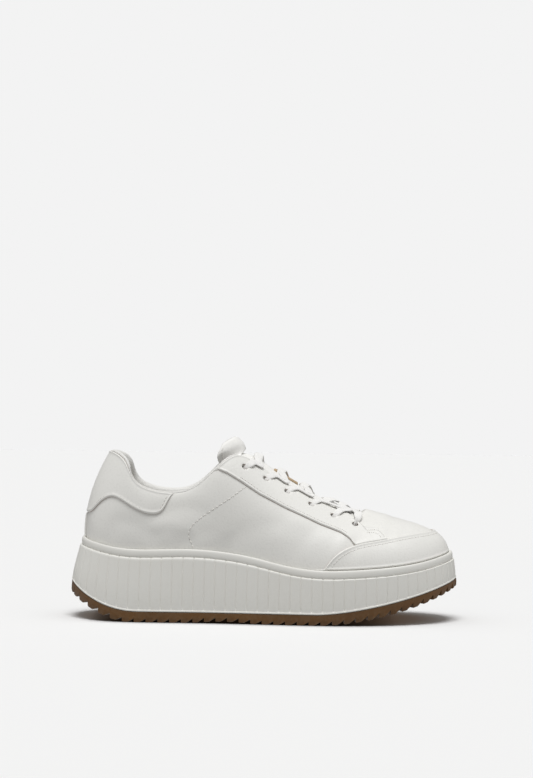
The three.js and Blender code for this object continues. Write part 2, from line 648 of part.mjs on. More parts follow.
/** A lace's course from under one facing over the tongue to the eyelet of the other. */
function laceCourse(from, to, towardsInner) {
  const away = towardsInner ? 1 : -1; // the ring runs backwards on the inner side
  const half = LACE_THICKNESS / 2;
  const start = locate(from, !towardsInner);
  const end = locate(to, towardsInner);
  const point = (t, share, stand) => ({ at: onWall(t, share, stand), up: wallNormal(t, share) });
  const over = GAP + OVERLAY + GAP + half;
  const arch = (t, i) => {
    const row = tongueArch(t);
    const at = row[towardsInner ? i : row.length - 1 - i].clone();
    at.z += 2 * GAP + half + LACE_SLACK;
    return { at, up: new THREE.Vector3(0.45, 0, 0.9).normalize() };
  };
  const mid = (start.t + end.t) / 2;
  return [
    arch(start.t * 0.85 + end.t * 0.15, 3),
    arch(mid, 5),
    arch(start.t * 0.35 + end.t * 0.65, 7),
    point(-away * (end.t * 0.93 + start.t * 0.07), 0.97, over + LACE_SLACK),
    point(-away * end.t, end.share + 0.03, over + GAP),
  ];
}

/** Two courses that cross between a pair of eyelets and the pair above it. */
function laceCross(k) {
  const outer = laceStrip(laceCourse(EYELETS[k + 1], EYELETS[k], false));
  const inner = laceStrip(laceCourse(EYELETS[k + 1], EYELETS[k], true));
  return outer.add(inner);
}

/** The straight course across the front pair of eyelets. */
function laceBar() {
  const { t, share } = locate(EYELETS.at(-1));
  const stand = GAP + OVERLAY + 2 * GAP + LACE_THICKNESS / 2;
  const ahead = 0.33; // the wall's sections lean back as they rise, and the lace runs straight across
  const row = tongueArch(t + ahead);
  const crown = row[(row.length - 1) / 2].clone();
  crown.z += LACE_THICKNESS / 2 + LACE_SLACK;
  const side = (station, s, lift) => ({ at: onWall(station, s, stand + lift), up: wallNormal(station, s) });
  return laceStrip([
    side(t, share + 0.04, 0),
    side(t, 0.97, LACE_SLACK),
    { at: crown, up: new THREE.Vector3(0.35, 0, 0.94).normalize() },
    side(-t, 0.97, LACE_SLACK),
    side(-t, share + 0.04, 0),
  ]);
}

// ---------------------------------------------------------------- assembly
const FINISHES = {
  leather: { color: 0xf2f1ec, roughness: 0.5, metalness: 0 },
  rubber: { color: 0xeeede8, roughness: 0.6, metalness: 0 },
  gum: { color: 0x6b4c2a, roughness: 0.7, metalness: 0 },
  lining: { color: 0xf4f3ef, roughness: 0.85, metalness: 0 },
  lace: { color: 0xf7f6f3, roughness: 0.9, metalness: 0 },
};

const sneaker = new THREE.Group();
function place(name, made, finish) {
  const mesh = new THREE.Mesh(geometryOf(made), new THREE.MeshStandardMaterial(FINISHES[finish]));
  mesh.name = name;
  sneaker.add(mesh);
}

place("outsole", outsole(), "gum");
place("midsole", midsole(), "rubber");
place("insole", insole(), "lining");
place("upper", upper(), "leather");
place("toe_cap", toeCap(), "leather");
place("heel_counter", heelCounter(), "leather");
place("back_strip", backStrip(), "leather");
place("facing_outer", facing(false), "leather");
place("facing_inner", facing(true), "leather");
place("collar_pad", collarPad(), "lining");
place("tongue", tongue(), "leather");
for (let k = 0; k + 1 < EYELETS.length; k++) place(`lace_cross_${k + 1}`, laceCross(k), "lace");
place("lace_bar", laceBar(), "lace");

export default sneaker;
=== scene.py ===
"""A white leather platform sneaker for the right foot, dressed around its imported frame.

Sizes are in millimetres until a mesh is made. The toe is at +X, the outer side at -Y and the floor at Z = 0.
The upper is one surface S(t, v): t is a station round the shoe (0 at the heel, 14 at the toe, 28 at the heel
again) and v climbs the wall, from 0 at the feather line to 1 at the edge of the collar and throat.
"""

import logging
import math
from dataclasses import dataclass, field
from enum import Enum
from typing import Callable, Sequence

import bmesh
import bpy
import numpy as np
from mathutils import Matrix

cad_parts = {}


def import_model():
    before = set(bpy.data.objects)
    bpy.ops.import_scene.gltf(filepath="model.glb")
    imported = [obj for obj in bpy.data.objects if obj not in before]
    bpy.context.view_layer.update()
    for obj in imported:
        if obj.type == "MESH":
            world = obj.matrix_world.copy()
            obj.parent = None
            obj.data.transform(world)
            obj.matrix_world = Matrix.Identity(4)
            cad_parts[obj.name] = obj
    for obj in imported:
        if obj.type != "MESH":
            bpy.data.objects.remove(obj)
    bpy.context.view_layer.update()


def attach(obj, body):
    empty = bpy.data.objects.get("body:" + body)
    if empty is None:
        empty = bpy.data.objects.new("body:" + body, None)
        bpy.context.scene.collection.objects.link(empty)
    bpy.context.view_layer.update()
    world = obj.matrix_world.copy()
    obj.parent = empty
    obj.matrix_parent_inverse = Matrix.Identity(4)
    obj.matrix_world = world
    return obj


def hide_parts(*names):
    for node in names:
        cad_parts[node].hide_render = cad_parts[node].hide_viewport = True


Array = np.ndarray
LOG = logging.getLogger("sneaker")
MM = 0.001
TAU = 2 * math.pi


# ---------------------------------------------------------------- curves
class CyclicSpline:
    """A smooth closed curve through values at stations 0, 1, 2 and so on."""

    def __init__(self, values: Sequence[float]) -> None:
        """Solves for the second derivatives: each value's neighbours and itself weigh 1, 4 and 1.

        Args:
            values: the value at each whole station.
        """
        self.values = np.asarray(values, float)
        size = len(self.values)
        unit = np.eye(size)
        system = 4 * unit + np.roll(unit, 1, axis=1) + np.roll(unit, -1, axis=1)
        turn = np.roll(self.values, -1) - 2 * self.values + np.roll(self.values, 1)
        self.bend = np.linalg.solve(system, 6 * turn)

    def __call__(self, t: Array) -> Array:
        """The value at stations t: the straight step between two values plus the sag of their bends."""
        t = np.asarray(t, float)
        whole = np.floor(t).astype(int)
        b = t - whole
        a = 1 - b
        i = whole % len(self.values)
        j = (i + 1) % len(self.values)
        sag = (a**3 - a) * self.bend[i] + (b**3 - b) * self.bend[j]
        return a * self.values[i] + b * self.values[j] + sag / 6


class OpenSpline:
    """A smooth open curve with natural ends through (x, value) points."""

    def __init__(self, points: Sequence[tuple[float, float]]) -> None:
        """Solves the tridiagonal system of second derivatives.

        Args:
            points: pairs of x and value, in rising x.
        """
        self.x, self.y = np.asarray(points, float).T
        size = len(self.x)
        step = np.diff(self.x)
        slope = np.diff(self.y) / step
        system = np.eye(size)
        right = np.zeros(size)
        for i in range(1, size - 1):
            system[i, i - 1 : i + 2] = step[i - 1], 2 * (step[i - 1] + step[i]), step[i]
            right[i] = 6 * (slope[i] - slope[i - 1])
        self.bend = np.linalg.solve(system, right)

    def __call__(self, x: Array) -> Array:
        """The value at x; past the ends the first and last stretches run on."""
        x = np.asarray(x, float)
        i = np.clip(np.searchsorted(self.x, x, side="right") - 1, 0, len(self.x) - 2)
        step = self.x[i + 1] - self.x[i]
        b = (x - self.x[i]) / step
        a = 1 - b
        sag = (a**3 - a) * self.bend[i] + (b**3 - b) * self.bend[i + 1]
        return a * self.y[i] + b * self.y[i + 1] + sag * step**2 / 6

    def held(self, x: Array) -> Array:
        """The value at x, level past both ends."""
        return self(np.clip(x, self.x[0], self.x[-1]))


def unit(vectors: Array) -> Array:
    """Each vector divided by its length."""
    return vectors / np.maximum(np.linalg.norm(vectors, axis=-1, keepdims=True), 1e-12)


def lerp(a: Array, b: Array, share: Array) -> Array:
    """The point between a and b at a share of the way."""
    return a + (b - a) * share


def smooth(x: Array, low: float, high: float) -> Array:
    """0 below low, 1 above high and an S curve between."""
    s = np.clip((x - low) / (high - low), 0, 1)
    return s * s * (3 - 2 * s)


def bump(x: Array, width: float) -> Array:
    """A bell of height 1 at x = 0."""
    return np.exp(-((x / width) ** 2))


def catmull(points: Array, samples: Array) -> Array:
    """A Catmull-Rom curve through points along the first axis.

    Args:
        points: an array whose first axis counts the points.
        samples: places from 0 to the number of points less 1.

    Returns:
        The curve at the samples: each stretch is the cubic whose end slopes are half the chord of the neighbours.
    """
    ends = np.concatenate([2 * points[:1] - points[1:2], points, 2 * points[-1:] - points[-2:-1]])
    i = np.clip(np.floor(samples).astype(int), 0, len(points) - 2)
    s = (samples - i).reshape((-1,) + (1,) * (points.ndim - 1))
    p0, p1, p2, p3 = ends[i], ends[i + 1], ends[i + 2], ends[i + 3]
    cubic = 3 * p1 - p0 - 3 * p2 + p3
    square = 2 * p0 - 5 * p1 + 4 * p2 - p3
    return p1 + 0.5 * s * (p2 - p0 + s * (square + s * cubic))


# ---------------------------------------------------------------- the last
@dataclass(frozen=True)
class Section:
    """One section of the shoe: foot and edge as shares of the last, and the wall's handles in millimetres."""

    along: float
    outer: float
    inner: float
    edge_along: float
    edge_outer: float
    edge_inner: float
    edge_up: float
    lean: float
    rise: float
    pull: float
    drop: float


SECTIONS = (
    Section(0.0, 0.056, 0.056, 0.064, 0.056, 0.056, 0.963, 3.5, 31, 8, 14),  # heel
    Section(0.016, -0.344, 0.456, 0.083, -0.24, 0.35, 0.955, 3.3, 30, 7.5, 14),  # heel curve
    Section(0.066, -0.611, 0.7, 0.113, -0.47, 0.58, 0.872, 3, 27, 6, 13),  # back of the counter
    Section(0.14, -0.727, 0.789, 0.144, -0.61, 0.71, 0.697, 2.6, 21, 5, 9),  # side of the counter
    Section(0.225, -0.767, 0.778, 0.225, -0.665, 0.765, 0.612, 2.5, 18, 5, 8),  # ankle
    Section(0.318, -0.789, 0.745, 0.303, -0.68, 0.765, 0.673, 2.5, 20, 5.5, 9),  # shank
    Section(0.412, -0.844, 0.722, 0.371, -0.64, 0.725, 0.899, 2.5, 26, 9, 14),  # waist
    Section(0.505, -0.911, 0.745, 0.423, -0.44, 0.55, 0.996, 2.5, 29, 13, 13),  # instep corner
    Section(0.59, -0.973, 0.844, 0.491, -0.29, 0.41, 0.901, 2.5, 27, 15, 10),  # instep
    Section(0.683, -1.0, 0.967, 0.583, -0.245, 0.365, 0.781, 2.5, 24, 16, 8),  # outer ball
    Section(0.777, -0.956, 1.0, 0.672, -0.215, 0.335, 0.656, 2.5, 21, 17, 6),  # inner ball
    Section(0.87, -0.84, 0.93, 0.738, -0.17, 0.29, 0.593, 2.6, 20, 20, 5),  # small toes
    Section(0.944, -0.6, 0.72, 0.763, -0.09, 0.21, 0.605, 2.8, 21, 27, 6),  # side of the toe
    Section(0.988, -0.25, 0.42, 0.77, 0.01, 0.12, 0.622, 3, 23, 35, 9.5),  # toe curve
    Section(1.0, 0.1, 0.1, 0.771, 0.065, 0.065, 0.625, 3, 24, 37.5, 10.5),  # toe
)
RIM_LINE = (
    (-131, 57.3), (-116, 53.5), (-98, 50.6), (-75, 50.4), (-52, 50.9), (-30, 49.5), (-8, 46),
    (15, 40.6), (38, 37.7), (62, 38.1), (86, 39.9), (110, 43.4), (136, 50),
)  # x along the shoe and height of the sole's rim
TOE_CAP_SEAM = (
    (41.6, 38.5), (45.1, 43.5), (50.4, 48.8), (56.5, 52.6), (66, 55.8),
    (78, 57.6), (91, 60), (105, 62), (118, 63.2), (123, 63.9),
)
COUNTER_SEAM = (
    (-126.4, 74), (-122.1, 75.3), (-118, 79.5), (-112, 84.6), (-106, 86), (-99, 83), (-90, 77.8),
    (-80, 74.7), (-74.5, 75.4), (-71.2, 78), (-67.5, 84.6), (-63.3, 90),
)
FACING_SEAM = (
    (-37.5, 104.5), (-33, 106.2), (-26.5, 103.6), (-17.1, 97.9), (-4, 89.2), (13.2, 80.2), (38.8, 68.7),
    (53.1, 63.3), (59.5, 59),
)
FACING_FRONT = ((68.5, 67.2), (78.5, 66.4), (81.3, 64.7), (85, 59.8))
QUARTER_STITCH = (
    (-13.1, 94.9), (-23.7, 87.2), (-33, 81), (-42, 74.8), (-48.5, 69.5), (-52.2, 64.5), (-53, 60), (-51.2, 55),
    (-49.5, 51.4),
)
FRONT_STITCH = ((71.8, 64.3), (76, 64.6), (79.6, 64.0), (82.0, 62.2), (84.0, 59.6))
EYELETS = ((-14.9, 108), (-0.1, 99.6), (15.2, 90.8), (32.2, 81.9), (47.9, 74.3), (63.4, 68.5))


@dataclass(frozen=True)
class Crease:
    """A soft trough or ridge across the leather, placed in side view.

    x and z are its middle, turn is its direction from the shoe's length in degrees, and depth is below 0 for a
    ridge. side is -1 for the outer side, 1 for the inner side and 0 for both.
    """

    x: float
    z: float
    turn: float
    length: float
    width: float
    depth: float
    side: int = 0


CREASES = (
    Crease(60, 50, 62, 15, 5.0, 0.45),
    Crease(52, 54, 58, 13, 4.0, -0.28),
    Crease(27, 58, 48, 16, 6.0, 0.42),
    Crease(14, 66, 40, 14, 5.0, -0.22),
    Crease(-8, 66, 20, 30, 7.5, 0.5),
    Crease(-62, 79, 8, 22, 6.5, 0.75),
    Crease(-66, 68, -6, 20, 5.0, -0.35),
    Crease(-88, 66, -25, 16, 6.0, 0.5),
    Crease(-50, 60, 30, 15, 6.0, 0.35),
    Crease(-107, 62, 70, 13, 6.0, 0.4),
    Crease(98, 66, 75, 12, 4.5, 0.25),
    Crease(90, 68, 70, 12, 3.6, 0.32),
    Crease(83, 69, 66, 12, 3.2, -0.2),
)


class Last:
    """The shoe's main form: sole lines along x, and the upper's surface S(t, v)."""

    length = 257.5
    ball_width = 90.0
    instep_height = 75.0
    heel_x = -126.7
    cup_depth = 7.0
    toe = len(SECTIONS) - 1
    ring = 2 * (len(SECTIONS) - 1)
    wall_thickness = 2.2

    def __init__(self) -> None:
        """Fits a closed curve to each quantity of the section table."""
        self.rim = OpenSpline(RIM_LINE)
        x = lambda share: self.heel_x + share * self.length
        y = lambda share: share * self.ball_width / 2
        self.foot_x = self._round(lambda s, inner: x(s.along))
        self.foot_y = self._round(lambda s, inner: y(s.inner if inner else s.outer))
        self.edge_x = self._round(lambda s, inner: x(s.edge_along))
        self.edge_y = self._round(lambda s, inner: y(s.edge_inner if inner else s.edge_outer))
        self.edge_z = self._round(
            lambda s, inner: float(self.footbed(x(s.edge_along))) + s.edge_up * self.instep_height
        )
        self.lean = self._round(lambda s, inner: s.lean)
        self.rise = self._round(lambda s, inner: s.rise)
        self.pull = self._round(lambda s, inner: s.pull)
        self.drop = self._round(lambda s, inner: s.drop)

    def _round(self, read: Callable[[Section, bool], float]) -> CyclicSpline:
        """A closed curve of one quantity: the sections on the outer side, then back on the inner side."""
        there = [read(s, False) for s in SECTIONS]
        back = [read(s, True) for s in SECTIONS[-2:0:-1]]
        return CyclicSpline(there + back)

    def footbed(self, x: Array) -> Array:
        """Height of the footbed at x."""
        return self.rim(x) - self.cup_depth

    def outward(self, t: Array) -> Array:
        """The feather line's outward direction in plan: its tangent turned by a right angle."""
        e = 0.01
        dx = self.foot_x(t + e) - self.foot_x(t - e)
        dy = self.foot_y(t + e) - self.foot_y(t - e)
        return unit(np.stack([dy, -dx, np.zeros_like(dx)], -1))

    def wall(self, t: Array, v: Array) -> Array:
        """S(t, v): a cubic Bezier from the feather line to the edge.

        Its lower handle leans out and rises, and its upper handle pulls out towards the feather line and drops.
        """
        t, v = np.broadcast_arrays(np.asarray(t, float), np.clip(v, 0, 1))
        blend_reach = 12.0
        fx = self.foot_x(t)
        foot = np.stack([fx, self.foot_y(t), self.footbed(fx)], -1)
        top = np.stack([self.edge_x(t), self.edge_y(t), self.edge_z(t)], -1)
        out = self.outward(t)
        away = foot - top + out * blend_reach
        away[..., 2] = 0
        low = foot + out * self.lean(t)[..., None]
        low[..., 2] += self.rise(t)
        high = top + unit(away) * self.pull(t)[..., None]
        high[..., 2] -= self.drop(t)
        s = v[..., None]
        r = 1 - s
        return r**3 * foot + 3 * r * r * s * low + 3 * r * s * s * high + s**3 * top

    def normal(self, t: Array, v: Array) -> Array:
        """The outward direction: the way along the ring crossed with the way up the wall."""
        e = 0.01
        t, v = np.broadcast_arrays(np.asarray(t, float), np.asarray(v, float))
        up = self.wall(t, np.minimum(1, v + e)) - self.wall(t, np.maximum(0, v - e))
        ahead = self.wall(t + e, v) - self.wall(t - e, v)
        return unit(np.cross(ahead, up))

    def on_wall(self, t: Array, v: Array, stand: Array = 0.0) -> Array:
        """A point off the surface: S(t, v) plus stand along the normal."""
        return self.wall(t, v) + self.normal(t, v) * np.asarray(stand, float)[..., None]

    def skin(self, t: Array, v: Array, stand: Array = 0.0) -> Array:
        """As on_wall, with the listed creases added to the stand."""
        base = self.wall(t, v)
        return base + self.normal(t, v) * (np.asarray(stand, float) + relief(base))[..., None]

    def crossing(self, t: Array, line: Callable[[Array], Array]) -> Array:
        """The share v at which each station's wall first climbs over a side-view line z(x)."""
        v = np.linspace(0, 1, 260)
        points = self.wall(t[:, None], v[None, :])
        over = points[..., 2] - line(points[..., 0])
        above = over > 0
        first = np.clip(np.argmax(above, axis=1), 1, len(v) - 1)
        rows = np.arange(len(t))
        f0, f1 = over[rows, first - 1], over[rows, first]
        share = np.clip(f0 / np.where(f0 == f1, 1, f0 - f1), 0, 1)
        found = lerp(v[first - 1], v[first], share)
        return np.where(above.any(1), np.where(above[:, 0], 0.0, found), 1.0)

    def locate(self, points: Sequence[tuple[float, float]], inner: bool) -> tuple[Array, Array]:
        """The stations and shares of points that are given in side view.

        Args:
            points: pairs of x and z.
            inner: True for the inner side.

        Returns:
            t and v, found as the nearest node of a grid and then by Newton's steps.
        """
        target = np.asarray(points, float)
        sign = -1.0 if inner else 1.0
        gt, gv = np.meshgrid(np.linspace(0.05, self.toe - 0.05, 180), np.linspace(0, 1, 90), indexing="ij")
        grid = self.wall(sign * gt, gv)[..., ::2].reshape(-1, 2)
        near = np.argmin(((grid[None] - target[:, None]) ** 2).sum(-1), axis=1)
        t, v = gt.ravel()[near], gv.ravel()[near]
        e = 1e-3
        for _ in range(8):
            here = self.wall(sign * t, v)[..., ::2]
            by_t = (self.wall(sign * (t + e), v)[..., ::2] - here) / e
            by_v = (self.wall(sign * t, v)[..., ::2] - self.wall(sign * t, v - e)[..., ::2]) / e
            miss = target - here
            det = by_t[:, 0] * by_v[:, 1] - by_t[:, 1] * by_v[:, 0]
            det = np.where(np.abs(det) < 1e-6, 1e-6, det)
            t = np.clip(t + np.clip((miss[:, 0] * by_v[:, 1] - miss[:, 1] * by_v[:, 0]) / det, -0.3, 0.3), 0, self.toe)
            v = np.clip(v + np.clip((by_t[:, 0] * miss[:, 1] - by_t[:, 1] * miss[:, 0]) / det, -0.1, 0.1), e, 1)
        return sign * t, v


def relief(points: Array) -> Array:
    """The creases' height at points of the surface: each is a bell across its line that fades towards its ends."""
    total = np.zeros(points.shape[:-1])
    for crease in CREASES:
        turn = math.radians(crease.turn)
        dx, dz = points[..., 0] - crease.x, points[..., 2] - crease.z
        along = dx * math.cos(turn) + dz * math.sin(turn)
        across = -dx * math.sin(turn) + dz * math.cos(turn) + 0.012 * along**2
        here = bump(across, crease.width) * np.exp(-((along / crease.length) ** 4)) * crease.depth
        total -= here if crease.side == 0 else np.where(points[..., 1] * crease.side > 0, here, 0)
    return total


LAST = Last()


# ---------------------------------------------------------------- meshes
@dataclass
class Surface:
    """Points in millimetres, faces as rows of indices (-1 ends a triangle), and flat coordinates for each point."""

    points: Array
    faces: Array
    flat: Array | None = None
    slots: Array | None = None

    def __add__(self, other: "Surface") -> "Surface":
        """Both surfaces as one."""
        flats = [s.flat if s.flat is not None else np.zeros((len(s.points), 2)) for s in (self, other)]
        slots = [s.slots if s.slots is not None else np.zeros(len(s.faces), int) for s in (self, other)]
        shifted = np.where(other.faces < 0, -1, other.faces + len(self.points))
        return Surface(
            np.concatenate([self.points, other.points]),
            np.concatenate([self.faces, shifted]),
            np.concatenate(flats),
            np.concatenate(slots),
        )


def grid_faces(rows: int, columns: int, wrap_rows: bool = False, wrap_columns: bool = False) -> Array:
    """Quads over a grid of rows by columns points, joined back to the first row or column where it wraps."""
    index = np.arange(rows * columns).reshape(rows, columns)
    if wrap_rows:
        index = np.vstack([index, index[:1]])
    if wrap_columns:
        index = np.hstack([index, index[:, :1]])
    corners = (index[:-1, :-1], index[1:, :-1], index[1:, 1:], index[:-1, 1:])
    return np.stack([c.ravel() for c in corners], -1)


def sheet(points: Array, flat: Array | None = None, wrap_rows: bool = False, wrap_columns: bool = False) -> Surface:
    """A surface from a grid of points, rows by columns by 3."""
    rows, columns = points.shape[:2]
    faces = grid_faces(rows, columns, wrap_rows, wrap_columns)
    return Surface(points.reshape(-1, 3), faces, None if flat is None else flat.reshape(-1, 2))


def closed_strip(size: int, first: int) -> Array:
    """Faces that close a loop of size points across: point i is joined to point size - i."""
    i = np.arange(size // 2)
    j = (size - i) % size
    quads = np.stack([i, i + 1, (size - i - 1) % size, j], -1) + first
    repeated = quads[:, 1] == quads[:, 2]
    quads[repeated, 2] = quads[repeated, 3]
    quads[repeated, 3] = -1
    start = quads[:, 0] == quads[:, 3]
    quads[start, 3] = -1
    return quads


def stack(loops: Array, flat: Array | None = None) -> Surface:
    """A closed body of loops laid one over another, each running round the shoe, closed across at both ends."""
    levels, size = loops.shape[:2]
    body = sheet(loops, flat, wrap_columns=True)
    ends = np.concatenate([closed_strip(size, 0), closed_strip(size, (levels - 1) * size)])
    return Surface(body.points, np.concatenate([body.faces, ends]), body.flat)


def make_object(name: str, surface: Surface, *materials: bpy.types.Material, closed: bool = True) -> bpy.types.Object:
    """Puts a surface into a mesh object at the origin.

    Args:
        name: the piece's name.
        surface: its points in millimetres and its faces.
        materials: its materials, in the order of the surface's slots.
        closed: True for a closed body, whose faces are turned to point outwards.

    Returns:
        The object, linked to the scene.
    """
    mesh = bpy.data.meshes.new(name)
    sizes = np.where(surface.faces[:, 3] < 0, 3, 4)
    corners = surface.faces[surface.faces >= 0]
    starts = np.concatenate([[0], np.cumsum(sizes)[:-1]])
    mesh.vertices.add(len(surface.points))
    mesh.vertices.foreach_set("co", (surface.points * MM).astype(np.float32).ravel())
    mesh.loops.add(len(corners))
    mesh.loops.foreach_set("vertex_index", corners.astype(np.int32))
    mesh.polygons.add(len(sizes))
    mesh.polygons.foreach_set("loop_start", starts.astype(np.int32))
    mesh.polygons.foreach_set("loop_total", sizes.astype(np.int32))
    mesh.polygons.foreach_set("use_smooth", np.ones(len(sizes), bool))
    if surface.slots is not None:
        mesh.polygons.foreach_set("material_index", surface.slots.astype(np.int32))
    if surface.flat is not None:
        layer = mesh.uv_layers.new(name="flat")
        layer.data.foreach_set("uv", surface.flat[corners].astype(np.float32).ravel())
    mesh.update(calc_edges=True)
    mesh.validate()
    if closed:
        shape = bmesh.new()
        shape.from_mesh(mesh)
        bmesh.ops.remove_doubles(shape, verts=shape.verts, dist=1e-7)
        bmesh.ops.recalc_face_normals(shape, faces=shape.faces)
        shape.to_mesh(mesh)
        shape.free()
    for material in materials:
        mesh.materials.append(material)
    piece = bpy.data.objects.new(name, mesh)
    bpy.context.scene.collection.objects.link(piece)
    return piece


def punch(surface: Surface, centres: Array, radius: float, dip: float, normals: Array) -> Surface:
    """Cuts round holes into a sheet.

    Faces whose middle lies within the radius of a centre go, and the points on the cut move radially onto the
    circle. The sheet round a hole sinks by dip times a bell of the distance from the cut.

    Args:
        surface: the sheet.
        centres: the holes' middles.
        radius: the holes' radius.
        dip: how far the cut edge sinks.
        normals: the sheet's outward direction at each centre.

    Returns:
        The sheet with its holes.
    """
    points = surface.points.copy()
    faces, slots = surface.faces, surface.slots
    for centre, axis in zip(centres, normals):
        offset = points - centre
        offset -= (offset @ axis)[:, None] * axis
        away = np.linalg.norm(offset, axis=1)
        near = np.linalg.norm(points - centre, axis=1) < 4 * radius
        middle = points[faces].mean(1) - centre
        middle -= (middle @ axis)[:, None] * axis
        gone = (np.linalg.norm(middle, axis=1) < radius) & near[faces].all(1)
        cut = np.intersect1d(faces[gone].ravel(), faces[~gone].ravel())
        points[cut] += offset[cut] * (radius / away[cut] - 1)[:, None]
        away[cut] = radius
        points[near] -= (dip * bump(away[near] - radius, 0.8))[:, None] * axis
        faces = faces[~gone]
        slots = None if slots is None else slots[~gone]
    return Surface(points, faces, surface.flat, slots)


def closed_body(top: Surface, under: Array, under_slot: int = 0) -> Surface:
    """A closed wall: a sheet, its copy at the under points, and a rim along every free edge.

    Args:
        top: the sheet, all quads.
        under: a point for each of the sheet's points.
        under_slot: the material slot of the copy.

    Returns:
        The body without points that no face uses.
    """
    size = len(top.points)
    faces = top.faces
    edges = np.concatenate([np.stack([faces[:, i], faces[:, (i + 1) % 4]], -1) for i in range(4)]).astype(np.int64)
    free = edges[~np.isin(edges[:, 0] * size + edges[:, 1], edges[:, 1] * size + edges[:, 0])]
    rim = np.stack([free[:, 1], free[:, 0], free[:, 0] + size, free[:, 1] + size], -1)
    every = np.concatenate([faces, faces[:, ::-1] + size, rim])
    own = np.zeros(len(faces)) if top.slots is None else top.slots
    slots = np.concatenate([own, np.full(len(faces), under_slot), np.full(len(rim), own.max())])
    used, renamed = np.unique(every, return_inverse=True)
    flat = np.zeros((size, 2)) if top.flat is None else top.flat
    points = np.concatenate([top.points, under])[used]
    return Surface(points, renamed.reshape(every.shape), np.concatenate([flat, flat])[used], slots.astype(int))


def path_frame(points: Array, up: Array) -> tuple[Array, Array, Array]:
    """The tangent, side and upward directions along a path; side is tangent crossed with the wished upward way."""
    ahead = unit(np.gradient(points, axis=0))
    side = unit(np.cross(ahead, up))
    return ahead, side, np.cross(side, ahead)


def travelled(points: Array) -> Array:
    """Distance along a path at each of its points."""
    return np.concatenate([[0], np.cumsum(np.linalg.norm(np.diff(points, axis=0), axis=1))])


# ---------------------------------------------------------------- materials
class Net:
    """Adds nodes to one tree and links them."""

    def __init__(self, tree: bpy.types.NodeTree) -> None:
        """Starts with an empty tree."""
        self.tree = tree
        self.tree.nodes.clear()

    def node(self, kind: str, inputs: dict | None = None, **settings: object) -> bpy.types.Node:
        """Adds a node.

        Args:
            kind: its type, without the ShaderNode that it starts with.
            inputs: a value or a socket for each named input.
            settings: its own properties.

        Returns:
            The node.
        """
        made = self.tree.nodes.new(kind if kind.startswith("Node") else "ShaderNode" + kind)
        for name, value in settings.items():
            setattr(made, name, value)
        for name, value in (inputs or {}).items():
            if isinstance(value, bpy.types.NodeSocket):
                self.tree.links.new(value, made.inputs[name])
            else:
                made.inputs[name].default_value = value
        return made

    def math(self, operation: str, *values: object) -> bpy.types.NodeSocket:
        """A Math node's result."""
        return self.node("Math", dict(enumerate(values)), operation=operation).outputs[0]

    def span(self, value: object, low: float, high: float, to_low: float, to_high: float) -> bpy.types.NodeSocket:
        """A value's place between low and high, carried to the range from to_low to to_high."""
        sizes = {"Value": value, "From Min": low, "From Max": high, "To Min": to_low, "To Max": to_high}
        return self.node("MapRange", sizes, clamp=True).outputs["Result"]

    def blend(self, share: object, first: object, second: object) -> bpy.types.NodeSocket:
        """A colour between two."""
        made = self.node("Mix", {"Factor": share}, data_type="RGBA")
        for name, value in ((6, first), (7, second)):
            if isinstance(value, bpy.types.NodeSocket):
                self.tree.links.new(value, made.inputs[name])
            else:
                made.inputs[name].default_value = value
        return made.outputs[2]


def new_group(name: str, inputs: dict[str, float], outputs: Sequence[str]) -> tuple[Net, bpy.types.Node]:
    """A shader node group with its sockets.

    Args:
        name: the group's name.
        inputs: each input's name and usual value.
        outputs: the outputs' names.

    Returns:
        The group's net and its input node.
    """
    tree = bpy.data.node_groups.new(name, "ShaderNodeTree")
    net = Net(tree)
    for label, value in inputs.items():
        socket = tree.interface.new_socket(label, in_out="INPUT", socket_type="NodeSocketFloat")
        socket.default_value = value
    for label in outputs:
        tree.interface.new_socket(label, in_out="OUTPUT", socket_type="NodeSocketFloat")
    return net, net.node("NodeGroupInput")


def grain_group() -> bpy.types.NodeTree:
    """Leather grain: soft rounded cells with creased borders, and pores over them."""
    net, given = new_group("grain", {"Cells": 900.0}, ["Height", "Crease"])
    place = net.node("TexCoord").outputs["Object"]
    drift = net.node("TexNoise", {"Vector": place, "Scale": 160.0, "Detail": 2.0})
    pushed = net.node("VectorMath", {0: drift.outputs["Color"], 1: (0.0016,) * 3, 2: place}, operation="MULTIPLY_ADD")
    spot = pushed.outputs["Vector"]
    cells = net.node("TexVoronoi", {"Vector": spot, "Scale": given.outputs["Cells"]}, feature="SMOOTH_F1")
    finer = net.math("MULTIPLY", given.outputs["Cells"], 2.6)
    pores = net.node("TexNoise", {"Vector": spot, "Scale": finer, "Detail": 3.0})
    dome = net.span(cells.outputs["Distance"], 0.0, 0.8, 1.0, 0.0)
    height = net.math("MULTIPLY_ADD", pores.outputs["Fac"], 0.35, dome)
    # The crease mask marks the cell borders; the material darkens them as painted shade.
    crease = net.span(dome, 0.1, 0.45, 1.0, 0.0)
    net.node("NodeGroupOutput", {"Height": height, "Crease": crease})
    return net.tree


def smudge_group() -> bpy.types.NodeTree:
    """Slow patches of tone, and a veil of dust that thickens towards the floor."""
    net, given = new_group("smudge", {"Patches": 30.0, "Dust Height": 0.03}, ["Patch", "Dust"])
    place = net.node("TexCoord").outputs["Object"]
    slow = net.node("TexNoise", {"Vector": place, "Scale": given.outputs["Patches"], "Detail": 4.0, "Roughness": 0.55})
    net_patch = net.span(slow.outputs["Fac"], 0.38, 0.66, 0.0, 1.0)
    height = net.node("SeparateXYZ", {0: place}).outputs["Z"]
    low = net.math("SUBTRACT", 1.0, net.math("DIVIDE", height, given.outputs["Dust Height"]))
    speck = net.node("TexNoise", {"Vector": place, "Scale": 420.0, "Detail": 4.0})
    veil = net.math("MULTIPLY", net.span(low, 0.0, 1.0, 0.0, 1.0), net.span(speck.outputs["Fac"], 0.42, 0.62, 0.0, 1.0))
    net.node("NodeGroupOutput", {"Patch": net_patch, "Dust": veil})
    return net.tree


